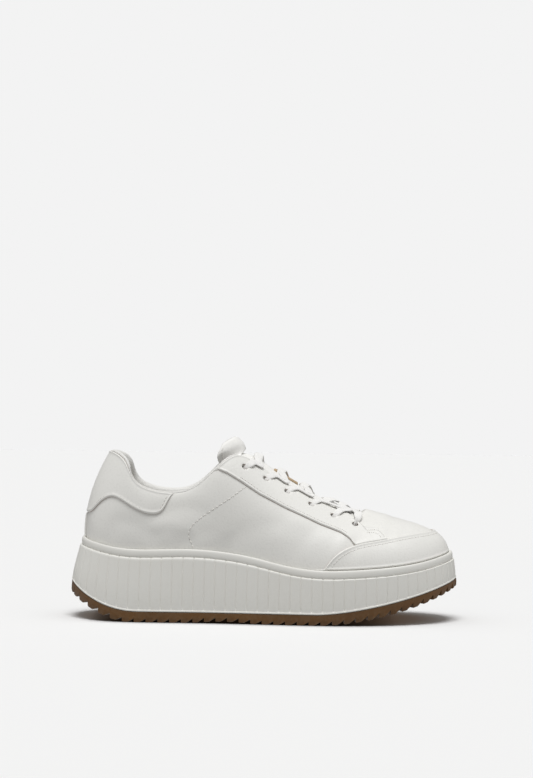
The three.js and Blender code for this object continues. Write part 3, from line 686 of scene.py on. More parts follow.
def weave_group() -> bpy.types.NodeTree:
    """Crossed yarns on the piece's flat coordinates: two slanting waves, one over the other in turn."""
    net, given = new_group("weave", {"Pitch": 0.9}, ["Height", "Gap"])
    flat = net.node("SeparateXYZ", {0: net.node("UVMap", uv_map="flat").outputs["UV"]})
    along = net.math("DIVIDE", flat.outputs["X"], given.outputs["Pitch"])
    across = net.math("DIVIDE", flat.outputs["Y"], given.outputs["Pitch"])
    rising = net.math("SINE", net.math("MULTIPLY", net.math("ADD", along, across), math.pi))
    falling = net.math("SINE", net.math("MULTIPLY", net.math("SUBTRACT", along, across), math.pi))
    height = net.math("MULTIPLY", net.math("ABSOLUTE", rising), net.math("ABSOLUTE", falling))
    # The gap mask marks the recesses between yarns; the material darkens them as painted shade.
    net.node("NodeGroupOutput", {"Height": height, "Gap": net.span(height, 0.0, 0.3, 1.0, 0.0)})
    return net.tree


class Pattern(Enum):
    """The fine surface of a finish."""

    GRAIN = "grain"
    WEAVE = "weave"
    SMOOTH = "smooth"


def linear(red: int, green: int, blue: int) -> tuple[float, float, float, float]:
    """A colour of 0 to 255 values as linear light."""
    each = [v / 255 for v in (red, green, blue)]
    return (*[v / 12.92 if v <= 0.04045 else ((v + 0.055) / 1.055) ** 2.4 for v in each], 1.0)


@dataclass(frozen=True)
class Finish:
    """A material: its colour, a second tone that it drifts to, its gloss and the size of its pattern."""

    name: str
    colour: tuple[float, float, float, float]
    tone: tuple[float, float, float, float]
    drift: float
    roughness: float
    pattern: Pattern
    size: float
    depth: float
    slot: str
    dust: float = 0.0
    specular: float = 0.4
    sheen: float = 0.0
    coat: float = 0.0


DUST_COLOUR = linear(150, 140, 122)
FINISHES = {
    "leather": Finish(
        "white_leather", linear(236, 235, 231), linear(231, 229, 224), 0.3, 0.46, Pattern.GRAIN, 1.15, 0.05,
        "leather", specular=0.42, coat=0.06,
    ),
    "facing": Finish(
        "facing_leather", linear(238, 237, 233), linear(233, 231, 226), 0.3, 0.43, Pattern.GRAIN, 1.0, 0.05,
        "leather", specular=0.42, coat=0.06,
    ),
    # Darker colour for each overlay's outermost edge faces and rim: painted shade under the rolled edge, also standing
    # for the leather's cut edge.
    "raw_edge_painted_shade": Finish(
        "raw_edge_painted_shade", linear(186, 172, 164), linear(172, 157, 149), 0.6, 0.8, Pattern.SMOOTH, 0.6, 0.05,
        "leather", specular=0.2,
    ),
    "tongue": Finish(
        "tongue_leather", linear(247, 246, 243), linear(241, 239, 235), 0.3, 0.5, Pattern.GRAIN, 1.3, 0.06,
        "leather", specular=0.38,
    ),
    "lining": Finish(
        "lining_knit", linear(247, 246, 243), linear(240, 238, 233), 0.3, 0.85, Pattern.WEAVE, 1.1, 0.1,
        "lining", specular=0.25, sheen=0.2,
    ),
    "footbed": Finish(
        "footbed_cloth", linear(226, 223, 215), linear(210, 206, 196), 0.6, 0.9, Pattern.WEAVE, 1.4, 0.2,
        "footbed", specular=0.2, sheen=0.2,
    ),
    "rubber": Finish(
        "white_rubber", linear(231, 230, 225), linear(226, 224, 218), 0.4, 0.52, Pattern.SMOOTH, 0.7, 0.02,
        "sole_white", dust=0.06, specular=0.38,
    ),
    "gum": Finish(
        "gum_rubber", linear(108, 76, 42), linear(90, 62, 34), 0.7, 0.5, Pattern.SMOOTH, 0.8, 0.06,
        "gum", dust=0.08, specular=0.35,
    ),
    "lace": Finish(
        "woven_lace", linear(249, 248, 246), linear(242, 240, 236), 0.3, 0.88, Pattern.WEAVE, 0.85, 0.12,
        "lace", specular=0.25, sheen=0.2,
    ),
    "thread": Finish(
        "thread", linear(238, 236, 231), linear(228, 225, 219), 0.5, 0.7, Pattern.SMOOTH, 0.5, 0.03,
        "leather", specular=0.3,
    ),
    # Small dark capsules between the stitches: painted shade where the thread dives into the leather.
    "needle_hole_painted_shade": Finish(
        "needle_hole_painted_shade", linear(138, 131, 122), linear(120, 113, 104), 0.6, 0.95, Pattern.SMOOTH, 0.5, 0.02,
        "leather", specular=0.1,
    ),
    "label": Finish(
        "tan_label", linear(203, 180, 150), linear(186, 162, 130), 0.6, 0.7, Pattern.WEAVE, 0.7, 0.1,
        "label", specular=0.3,
    ),
}


class Wardrobe:
    """Makes each finish's material once."""

    def __init__(self) -> None:
        """Builds the shared groups."""
        self.groups = {"grain": grain_group(), "smudge": smudge_group(), "weave": weave_group()}
        self.made: dict[str, bpy.types.Material] = {}

    def group(self, net: Net, name: str, inputs: dict[str, float]) -> bpy.types.Node:
        """Places a shared group in a material."""
        made = net.node("Group")
        made.node_tree = self.groups[name]
        for label, value in inputs.items():
            made.inputs[label].default_value = value
        return made

    def __getitem__(self, key: str) -> bpy.types.Material:
        """The material of a finish."""
        if key not in self.made:
            self.made[key] = self.build(FINISHES[key])
        return self.made[key]

    def build(self, finish: Finish) -> bpy.types.Material:
        """Makes a material: tone patches, pattern, painted shade in the pattern's recesses (a random speckle of tone on
        smooth finishes), dust, and a bump from the pattern.

        Args:
            finish: the finish to make.

        Returns:
            The material.
        """
        material = bpy.data.materials.new(finish.name)
        material.use_nodes = True
        net = Net(material.node_tree)
        smudge = self.group(net, "smudge", {"Patches": 26.0, "Dust Height": 0.034})
        colour = net.blend(net.math("MULTIPLY", smudge.outputs["Patch"], finish.drift), finish.colour, finish.tone)
        # The grain's creases and the weave's gaps blend towards this darker tone: painted shade. On smooth finishes the
        # same blend is a random speckle of tone.
        shade_and_speckle_colour = tuple(0.62 * v for v in finish.tone[:3]) + (1.0,)
        if finish.pattern is Pattern.GRAIN:
            fine = self.group(net, "grain", {"Cells": 1000 / finish.size})
            height, recess_shade_and_speckle = fine.outputs["Height"], net.math("MULTIPLY", fine.outputs["Crease"], 0.10)
        elif finish.pattern is Pattern.WEAVE:
            fine = self.group(net, "weave", {"Pitch": finish.size})
            height, recess_shade_and_speckle = fine.outputs["Height"], net.math("MULTIPLY", fine.outputs["Gap"], 0.32)
        else:
            place = net.node("TexCoord").outputs["Object"]
            speck = net.node("TexNoise", {"Vector": place, "Scale": 1000 / finish.size, "Detail": 3.0})
            height, recess_shade_and_speckle = speck.outputs["Fac"], net.math("MULTIPLY", speck.outputs["Fac"], 0.05)
        colour = net.blend(recess_shade_and_speckle, colour, shade_and_speckle_colour)
        if finish.dust:
            colour = net.blend(net.math("MULTIPLY", smudge.outputs["Dust"], finish.dust), colour, DUST_COLOUR)
        rough = net.span(smudge.outputs["Patch"], 0.0, 1.0, finish.roughness - 0.05, finish.roughness + 0.07)
        bump = net.node("Bump", {"Height": height, "Strength": 0.8, "Distance": finish.depth * MM})
        shader = net.node(
            "BsdfPrincipled",
            {
                "Base Color": colour,
                "Roughness": rough,
                "Normal": bump.outputs["Normal"],
                "Specular IOR Level": finish.specular,
                "Sheen Weight": finish.sheen,
                "Coat Weight": finish.coat,
                "Coat Roughness": 0.32,
            },
        )
        net.node("OutputMaterial", {"Surface": shader.outputs["BSDF"]})
        return material


def dress(piece: bpy.types.Object, slot: str, *nodes: str, fill: float | None = None) -> None:
    """Rides a piece on the shoe, hides and names the CAD nodes that it stands for, and reports it.

    Args:
        piece: the finished piece.
        slot: not used.
        nodes: the nodes that it replaces.
        fill: not used.
    """
    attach(piece, "root")
    if nodes:
        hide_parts(*nodes)
    LOG.info("%s: %d faces, in place of %s", piece.name, len(piece.data.polygons), ", ".join(nodes) or "nothing")


# ---------------------------------------------------------------- sole
GAP = 0.3
OVERLAY = 1.1
RIM = 4.7
BEAD = 5.6


@dataclass(frozen=True)
class Rocker:
    """A height along the shoe: flat in the middle, sweeping up behind one place and ahead of another."""

    flat: float
    heel_from: float
    heel_run: float
    heel_rise: float
    heel_power: float
    toe_from: float
    toe_run: float
    toe_rise: float
    toe_power: float

    def __call__(self, x: Array) -> Array:
        """The flat height, plus each end's rise times its share of the run to the end's power."""
        back = np.maximum(0, (self.heel_from - x) / self.heel_run) ** self.heel_power
        front = np.maximum(0, (x - self.toe_from) / self.toe_run) ** self.toe_power
        return self.flat + self.heel_rise * back + self.toe_rise * front


PARTING = Rocker(7.4, -88, 49, 19, 2.1, 36, 101, 23, 1.6)
TREAD = Rocker(0, -95, 42, 18.2, 1.65, 36, 101, 25, 1.8)


def tread_height(x: Array) -> Array:
    """The tread's rocker line, with the arch under the waist as a squared sine from -60 to 5."""
    share = np.clip((x + 60) / 65, 0, 1)
    return TREAD(x) + 1.5 * np.sin(np.pi * share) ** 2


def wall_flare(x: Array, down: Array) -> Array:
    """How far the sole's wall stands outside the ribs' top line: more towards the heel, and most at the bottom."""
    share = (LAST.length / 2 - x) / LAST.length
    return (1.4 + 4.1 * share**2) * (1.3 * down - 0.3 * down**4)


def even_stations(count: int, phases: Array) -> Array:
    """Stations with even spacing along the sole's edge: count repeats round the shoe, each with its phases."""
    t = np.linspace(0, LAST.ring, 5601)
    spots = np.stack([LAST.foot_x(t), LAST.foot_y(t)], -1) + LAST.outward(t)[..., :2] * RIM
    run = travelled(spots)
    wanted = (np.arange(count)[:, None] + phases[None, :]).ravel() / count * run[-1]
    return np.interp(wanted, run, t)


def ring_points(t: Array, reach: Array, height: Callable[[Array], Array]) -> Array:
    """Points round the shoe: the feather line moved outward by reach, at a height worked out from x."""
    out = LAST.outward(t)
    reach = np.broadcast_to(reach, t.shape)
    points = out * reach[:, None]
    points[:, 0] += LAST.foot_x(t)
    points[:, 1] += LAST.foot_y(t)
    points[:, 2] = height(points[:, 0])
    return points


@dataclass
class Midsole:
    """The white platform: vertical ribs between a bottom lip and a plain rounded bead, hollowed for the upper."""

    ribs: int = 84
    groove_depth: float = 0.45
    groove_half: float = 0.08
    crown: float = 0.12
    bead_base: float = 2.65
    bead_bulge: float = 1.75
    lip_height: float = 1.3
    lip_stand: float = 0.35
    shoulder: float = 0.9
    phases: Array = field(
        default_factory=lambda: np.array([0, 0.035, 0.065, 0.09, 0.14, 0.3, 0.5, 0.7, 0.86, 0.91, 0.935, 0.965])
    )

    def relief(self, t: Array) -> Array:
        """How far each station lies inside the ribs' face: a V groove at each rib's end and a slight crown between."""
        phase = np.tile(self.phases, self.ribs)
        away = np.minimum(phase, 1 - phase)
        groove = np.clip(1 - away / self.groove_half, 0, 1) ** 0.8
        return self.groove_depth * groove + self.crown * (1 - 2 * away) ** 4

    def build(self, wardrobe: Wardrobe) -> bpy.types.Object:
        """Stacks loops from the bottom lip up the ribs, over the bead and down into the cup."""
        t = even_stations(self.ribs, self.phases)
        x = LAST.foot_x(t)
        cut = self.relief(t)
        ribs_top = lambda px: LAST.rim(px) - BEAD
        level = lambda down, lift=0.0: lambda px: lerp(ribs_top(px), PARTING(px), down) + lift
        face = lambda down: RIM + wall_flare(x, down)
        loops = [ring_points(t, face(1) - 1.2, PARTING)]
        lip = self.lip_stand
        for stand, lift in ((-0.15, 0.0), (lip, 0.3), (lip + 0.05, 0.8), (lip - 0.1, 1.15)):
            loops.append(ring_points(t, face(1) + stand, level(1.0, lift)))
        loops.append(ring_points(t, face(0.97) - 0.35 * cut, level(1.0, self.lip_height + 0.15)))
        for down in (0.93, 0.88, 0.8, 0.68, 0.55, 0.42, 0.3, 0.2, 0.12, 0.06, 0.03):
            loops.append(ring_points(t, face(down) - cut, level(down)))
        for down, tuck in ((0.022, 0.16), (0.01, 0.4), (0.002, 0.75), (0.0, 1.1)):
            loops.append(ring_points(t, face(down) - tuck - cut * 1.3, level(down)))
        for share in np.linspace(0, 1, 11):
            bulge = self.bead_bulge * math.sin(math.pi * min(1, 0.2 + 0.8 * share)) ** 0.6
            rise = 0.1 + (BEAD - 0.1) * (0.5 - 0.5 * math.cos(math.pi * share))
            stand = np.full_like(t, RIM - self.bead_base + bulge)
            loops.append(ring_points(t, stand, lambda px, up=rise: ribs_top(px) + up))
        rim_share = LAST.crossing(t, LAST.rim)
        for share, stand in ((1.0, 0.75), (0.985, 0.3), (0.9, 0.25), (0.6, 0.25), (0.3, 0.25), (0.0, 0.25)):
            loops.append(LAST.on_wall(t, rim_share * share, stand))
        loops[-1][:, 2] -= 0.3
        rows = np.array(loops)
        flat = np.stack(np.broadcast_arrays(travelled(loops[0])[None, :], rows[..., 2]), -1)
        piece = make_object("midsole_ribbed", stack(rows, flat), wardrobe["rubber"])
        piece.data.set_sharp_from_angle(angle=math.radians(38))
        dress(piece, "sole_white", "midsole")
        return piece


@dataclass
class Outsole:
    """The gum tread: a curved plate, its edge cut into slanting teeth, with low ribs across the field."""

    teeth: int = 78
    depth: float = 2.4
    deepen: float = 1.2
    reach: float = 7.0
    stand: float = 0.6
    rib_pitch: float = 7.0
    rib_height: float = 0.7
    field_rise: float = 0.4
    least_plate: float = 2.0

    def build(self, wardrobe: Wardrobe) -> bpy.types.Object:
        """Stacks loops from the field out under the teeth and up the edge to the parting line."""
        phases = np.array([0, 0.03, 0.2, 0.38, 0.44, 0.62, 0.8, 0.955, 0.985])
        lifts = np.array([0.05, 0, 0, 0, 0.04, 0.34, 0.68, 0.96, 1.0])
        t = even_stations(self.teeth, phases)
        lift = np.tile(lifts, self.teeth)
        half = t < LAST.toe
        t = np.concatenate([t[half], [LAST.toe], LAST.ring - t[half][:0:-1]])
        lift = np.concatenate([lift[half], [0], lift[half][:0:-1]])
        edge = RIM + wall_flare(LAST.foot_x(t), 1) + self.stand
        row = lambda inset, lip: self.tooth_row(t, edge - inset, lift, lip)
        field_height = lambda px: np.minimum(
            tread_height(px) + self.depth_at(px) + self.field_rise - self.ribs(px), PARTING(px) - self.least_plate
        )
        brow = row(0.0, 0.55)
        rounded = row(0.25, 0.12)
        inwards = lambda inset, lip: ring_points(t, edge - inset, lambda px: rounded[:, 2] + lip)
        shoulder = ring_points(t, edge - 0.35, lambda px: PARTING(px) - 0.55)
        loops = [
            ring_points(t, edge - self.reach - 1.0, field_height),
            inwards(self.reach, 0.13),
            inwards(self.reach - 0.4, -0.12),
            inwards(0.8, -0.12),
            rounded,
            brow,
            lerp(brow, shoulder, 0.55),
            shoulder,
            ring_points(t, edge - 0.7, lambda px: PARTING(px) - 0.2),
            ring_points(t, edge - 1.2, lambda px: PARTING(px) - 0.1),
            ring_points(t, edge - 4.0, lambda px: PARTING(px) - 0.1),
        ]
        piece = make_object("outsole_gum", stack(np.array(loops)), wardrobe["gum"])
        piece.data.set_sharp_from_angle(angle=math.radians(35))
        dress(piece, "gum", "outsole")
        return piece

    def ribs(self, x: Array) -> Array:
        """The field's ribs: a rounded square wave along x."""
        return self.rib_height * smooth(np.cos(TAU * x / self.rib_pitch), -0.25, 0.25)

    def tooth_row(self, t: Array, reach: Array, lift: Array, lip: float) -> Array:
        """A row under the teeth: the tread's height, raised by each tooth's ramp and by the edge's rounding."""
        row = ring_points(t, reach, tread_height)
        row[:, 2] += lift * self.depth_at(row[:, 0]) + lip
        return row

    def depth_at(self, x: Array) -> Array:
        """The teeth's depth, which grows with the slope of the rocker line."""
        return self.depth * (1 + self.deepen * np.abs(tread_height(x + 0.5) - tread_height(x - 0.5)))


@dataclass
class Insole:
    """The cloth-covered foam footbed, slightly dished, with rounded edges."""

    inset: float = 2.8
    thickness: float = 4.5
    dish: float = 1.3
    spine_end: float = 88.0

    def build(self, wardrobe: Wardrobe) -> bpy.types.Object:
        """Stacks loops: the underside, the rounded edge, and rings that close in on the foot's middle line."""
        t = np.linspace(0, LAST.ring, 480, endpoint=False)
        edge = ring_points(t, np.full_like(t, -self.inset), LAST.footbed)
        other = ring_points(LAST.ring - t, np.full_like(t, -self.inset), LAST.footbed)
        spine = (edge + other) / 2
        spine[:, 0] = np.clip(spine[:, 0], -self.spine_end, self.spine_end)
        rows = []
        for inwards, up in ((0.12, 0.1), (0.004, 0.35), (0.0, 0.9), (0.0, 3.4), (0.012, 4.1), (0.035, 4.5)):
            rows.append(self.ring(edge, spine, inwards, up))
        for inwards in (0.08, 0.16, 0.28, 0.42, 0.58, 0.75, 0.9):
            rows.append(self.ring(edge, spine, inwards, self.thickness - self.dish * smooth(inwards, 0.03, 0.7)))
        grid = np.array(rows)
        piece = make_object("insole_cloth", stack(grid, grid[..., :2]), wardrobe["footbed"])
        dress(piece, "footbed", "insole", fill=0.9)
        return piece

    @staticmethod
    def ring(edge: Array, spine: Array, inwards: float, up: float) -> Array:
        """A loop that lies a share of the way from the edge to the spine, at a height over the footbed."""
        loop = lerp(edge, spine, inwards)
        loop[:, 2] = LAST.footbed(loop[:, 0]) + up
        return loop


# ---------------------------------------------------------------- upper
def over_line(points: Sequence[tuple[float, float]]) -> Callable[[Array], Array]:
    """A side-view line of straight stretches, level past its ends."""
    x, z = np.asarray(points, float).T
    return lambda px: np.interp(px, x, z)


CAP_LINE = OpenSpline(TOE_CAP_SEAM).held
COUNTER_SPLINE = OpenSpline(COUNTER_SEAM)
FAR_ABOVE = 140.0
FACING_LOW = over_line(
    ((-38.2, 140),) + FACING_SEAM + ((62.4, 55.6), (64, 54.6), (70, 55.9), (78, 57.0), (86, 58.4), (88, 61), (100, 75))
)
FACING_HIGH = over_line(((60, 140), (67.6, 140)) + FACING_FRONT + ((120, 59.8),))


def counter_line(x: Array) -> Array:
    """The counter's lower edge, which ends where it meets the collar."""
    return np.where(x > COUNTER_SEAM[-1][0], FAR_ABOVE, COUNTER_SPLINE.held(x))


EDGE_STEPS = np.array([0, 0.1, 0.25, 0.5, 0.8, 1.1, 1.4, 1.8, 2.4])


@dataclass
class Panel:
    """A leather layer over the upper between two of its lines, with rounded edges.

    low and high give the share v of each line at stations, and around is a station inside the panel.
    """

    low: Callable[[Array], Array]
    high: Callable[[Array], Array]
    around: float
    columns: int = 260
    rows: int = 26
    ends: tuple[float, float] | None = None
    thickness: float = 1.05
    roll: float = 0.95
    welt: float = 0.4
    # Rows of faces at each long edge that take the painted edge shade.
    painted_edge_rows: int = 1

    def __post_init__(self) -> None:
        """Finds the stations from one end of the panel to the other, closer together towards its ends."""
        if self.ends is None:
            t = self.around + np.linspace(-7.6, 7.6, 1521)
            shut = np.flatnonzero(self.high(t) <= self.low(t) + 1e-5)
            middle = len(t) // 2
            first = t[shut[shut < middle].max() + 1]
            last = t[shut[shut > middle].min() - 1]
        else:
            first, last = self.ends
        s = np.linspace(0, 1, self.columns)
        self.t = lerp(first, last, 0.55 * s + 0.45 * (0.5 - 0.5 * np.cos(np.pi * s)))
        self.from_v = self.low(self.t)
        self.to_v = np.maximum(self.high(self.t), self.from_v)

    def rounding(self, distance: Array) -> Array:
        """A quarter circle: 0 at an edge and 1 from one roll inwards."""
        return np.sqrt(np.clip(1 - (1 - np.clip(distance / self.roll, 0, 1)) ** 2, 0, 1))

    def grid(self) -> tuple[Array, Array, Array, Array]:
        """The panel's stations, shares and stand over the upper, and its flat coordinates."""
        v = lerp(self.from_v[:, None], self.to_v[:, None], np.linspace(0, 1, 24)[None, :])
        line = LAST.wall(self.t[:, None], v)
        width = np.linalg.norm(np.diff(line, axis=1), axis=-1).sum(1)
        scale = np.minimum(1, width / (2 * EDGE_STEPS[-1] + 0.2))
        near = EDGE_STEPS[None, :] * scale[:, None]
        inner = np.linspace(0, 1, self.rows + 2)[1:-1]
        middle = lerp(near[:, -1:], width[:, None] - near[:, -1:], inner[None, :])
        s = np.concatenate([near, middle, (width[:, None] - near)[:, ::-1]], axis=1)
        share = s / np.maximum(width[:, None], 1e-6)
        v = lerp(self.from_v[:, None], self.to_v[:, None], np.clip(share, 0, 1))
        t = np.broadcast_to(self.t[:, None], v.shape)
        run = travelled(line[:, 12])
        edge = np.minimum(s, width[:, None] - s)
        if self.ends is not None:
            edge = np.minimum(edge, np.minimum(run, run[-1] - run)[:, None])
        full = self.thickness + self.welt * bump(edge - 1.1, 0.75)
        stand = 0.06 + (full - 0.06) * self.rounding(np.maximum(edge, 0)) * np.sqrt(scale)[:, None]
        flat = np.stack(np.broadcast_arrays(run[:, None], s), -1)
        return t, v, stand, flat

    def body(self, holes: "Holes | None" = None) -> Surface:
        """The closed layer, from its underside on the upper to its rounded face, with any lace holes."""
        t, v, stand, flat = self.grid()
        face = LAST.skin(t, v, stand)
        under = LAST.skin(t, v, np.full_like(stand, 0.03)).reshape(-1, 3)
        top = sheet(face, flat)
        # The outermost rows at each long edge, and the rim, take the second material: painted shade along the panel's
        # edge.
        across = np.arange(len(top.faces)) % (t.shape[1] - 1)
        top.slots = ((across < self.painted_edge_rows) | (across >= t.shape[1] - 1 - self.painted_edge_rows)).astype(int)
        if holes is not None:
            bored = holes.cut(top)
            under = under + bored.points - top.points
            top = bored
        return closed_body(top, under)

    def edge_path(self, high: bool, keep: Callable[[Array], Array] | None = None) -> tuple[Array, Array]:
        """The stations and shares along one line of the panel, at the points that keep says yes to."""
        v = self.to_v if high else self.from_v
        if keep is None:
            return self.t, v
        chosen = keep(LAST.wall(self.t, v))
        return self.t[chosen], v[chosen]


@dataclass
class Holes:
    """The punched lace holes of one side."""

    inner: bool
    radius: float = 2.25
    dip: float = 0.3

    def __post_init__(self) -> None:
        """Finds the holes' stations and shares."""
        self.t, self.v = LAST.locate(EYELETS, self.inner)
        self.centres = LAST.wall(self.t, self.v)
        self.axes = LAST.normal(self.t, self.v)

    def cut(self, surface: Surface) -> Surface:
        """The sheet with these holes in it."""
        return punch(surface, self.centres, self.radius, self.dip, self.axes)


def settle(target: Array, t: Array, v: Array) -> tuple[Array, Array]:
    """The stations and shares of the surface points nearest to targets, by three steps of least squares."""
    e = 1e-3
    for _ in range(3):
        by_t = (LAST.wall(t + e, v) - LAST.wall(t - e, v)) / (2 * e)
        by_v = (LAST.wall(t, np.minimum(v + e, 1)) - LAST.wall(t, v - e)) / (np.minimum(v + e, 1) - v + e)[:, None]
        miss = target - LAST.wall(t, v)
        a, b, c = (by_t * by_t).sum(-1), (by_t * by_v).sum(-1), (by_v * by_v).sum(-1)
        p, q = (by_t * miss).sum(-1), (by_v * miss).sum(-1)
        det = np.maximum(a * c - b * b, 1e-6)
        t = t + (c * p - b * q) / det
        v = np.clip(v + (a * q - b * p) / det, e, 1)
    return t, v


def beside(t: Array, v: Array, distance: float) -> tuple[Array, Array]:
    """A line of the surface that runs beside another: above 0 it lies on the left of the way that t grows."""
    points = LAST.wall(t, v)
    side = unit(np.cross(LAST.normal(t, v), unit(np.gradient(points, axis=0))))
    return settle(points + side * distance, t, v)


@dataclass
class Stitching:
    """Rows of lock stitches: each a short flattened capsule whose ends dive into the leather, with a small dark capsule
    between stitches as painted shade at the needle holes.
    """

    pitch: float = 2.6
    length: float = 1.95
    radius: float = 0.29
    rows: list[Surface] = field(default_factory=list)

    def capsule(self, half: float, radius: float, sink: float) -> Array:
        """A capsule's points on rings along it: an ellipse that shrinks at both ends and bends down there."""
        s = np.linspace(-1, 1, 7)[:, None]
        around = np.linspace(0, TAU, 6, endpoint=False)[None, :]
        size = radius * np.sqrt(np.clip(1 - 0.96 * s**4, 0, 1))
        along = np.broadcast_to(s * half, (7, 6))
        return np.stack([along, size * np.cos(around), 0.8 * size * np.sin(around) - sink * s**2], -1)

    def sew(self, points: Array, up: Array) -> None:
        """Adds a row of stitches along a path.

        Args:
            points: the path on the leather's face.
            up: the outward direction at each point.
        """
        run = travelled(points)
        count = int(run[-1] / self.pitch)
        if count < 2:
            return
        at = (np.arange(count) + 0.5) * run[-1] / count
        each = lambda values, where: np.stack([np.interp(where, run, values[:, i]) for i in range(3)], -1)
        frames = path_frame(points, up)
        thread = self.place(self.capsule(self.length / 2, self.radius, 0.3), each(points, at), frames, run, at)
        # Between the stitches, a small dark capsule in the second material: painted shade at the needle holes.
        gaps = np.arange(1, count) * run[-1] / count
        hole = self.place(self.capsule(0.26, 0.2, 0.0), each(points, gaps), frames, run, gaps)
        hole.slots = np.ones(len(hole.faces), int)
        self.rows.append(thread + hole)

    @staticmethod
    def place(shape: Array, spots: Array, frames: tuple[Array, Array, Array], run: Array, where: Array) -> Surface:
        """Copies of a capsule at spots, each turned to the path's own directions there."""
        ahead, side, up = (np.stack([np.interp(where, run, f[:, i]) for i in range(3)], -1) for f in frames)
        local = shape.reshape(-1, 3)
        turned = (
            local[None, :, :1] * ahead[:, None] + local[None, :, 1:2] * side[:, None] + local[None, :, 2:] * up[:, None]
        )
        points = spots[:, None] + turned
        rings, size = shape.shape[:2]
        ends = [closed_strip(size, 0), closed_strip(size, (rings - 1) * size)]
        faces = np.concatenate([grid_faces(rings, size, wrap_columns=True), *ends])
        shift = (np.arange(len(spots)) * len(local))[:, None, None]
        every = np.where(faces[None] < 0, -1, faces[None] + shift).reshape(-1, 4)
        return Surface(points.reshape(-1, 3), every, np.zeros((points.size // 3, 2)), np.zeros(len(every), int))

    def along(self, t: Array, v: Array, stand: float) -> None:
        """A row of stitches along a line of the upper's surface, at a stand over it."""
        self.sew(LAST.skin(t, v, stand), LAST.normal(t, v))

    def build(self, wardrobe: Wardrobe, name: str) -> bpy.types.Object:
        """Joins the rows into one piece."""
        whole = self.rows[0]
        for row in self.rows[1:]:
            whole = whole + row
        piece = make_object(name, whole, wardrobe["thread"], wardrobe["needle_hole_painted_shade"])
        dress(piece, "leather")
        return piece


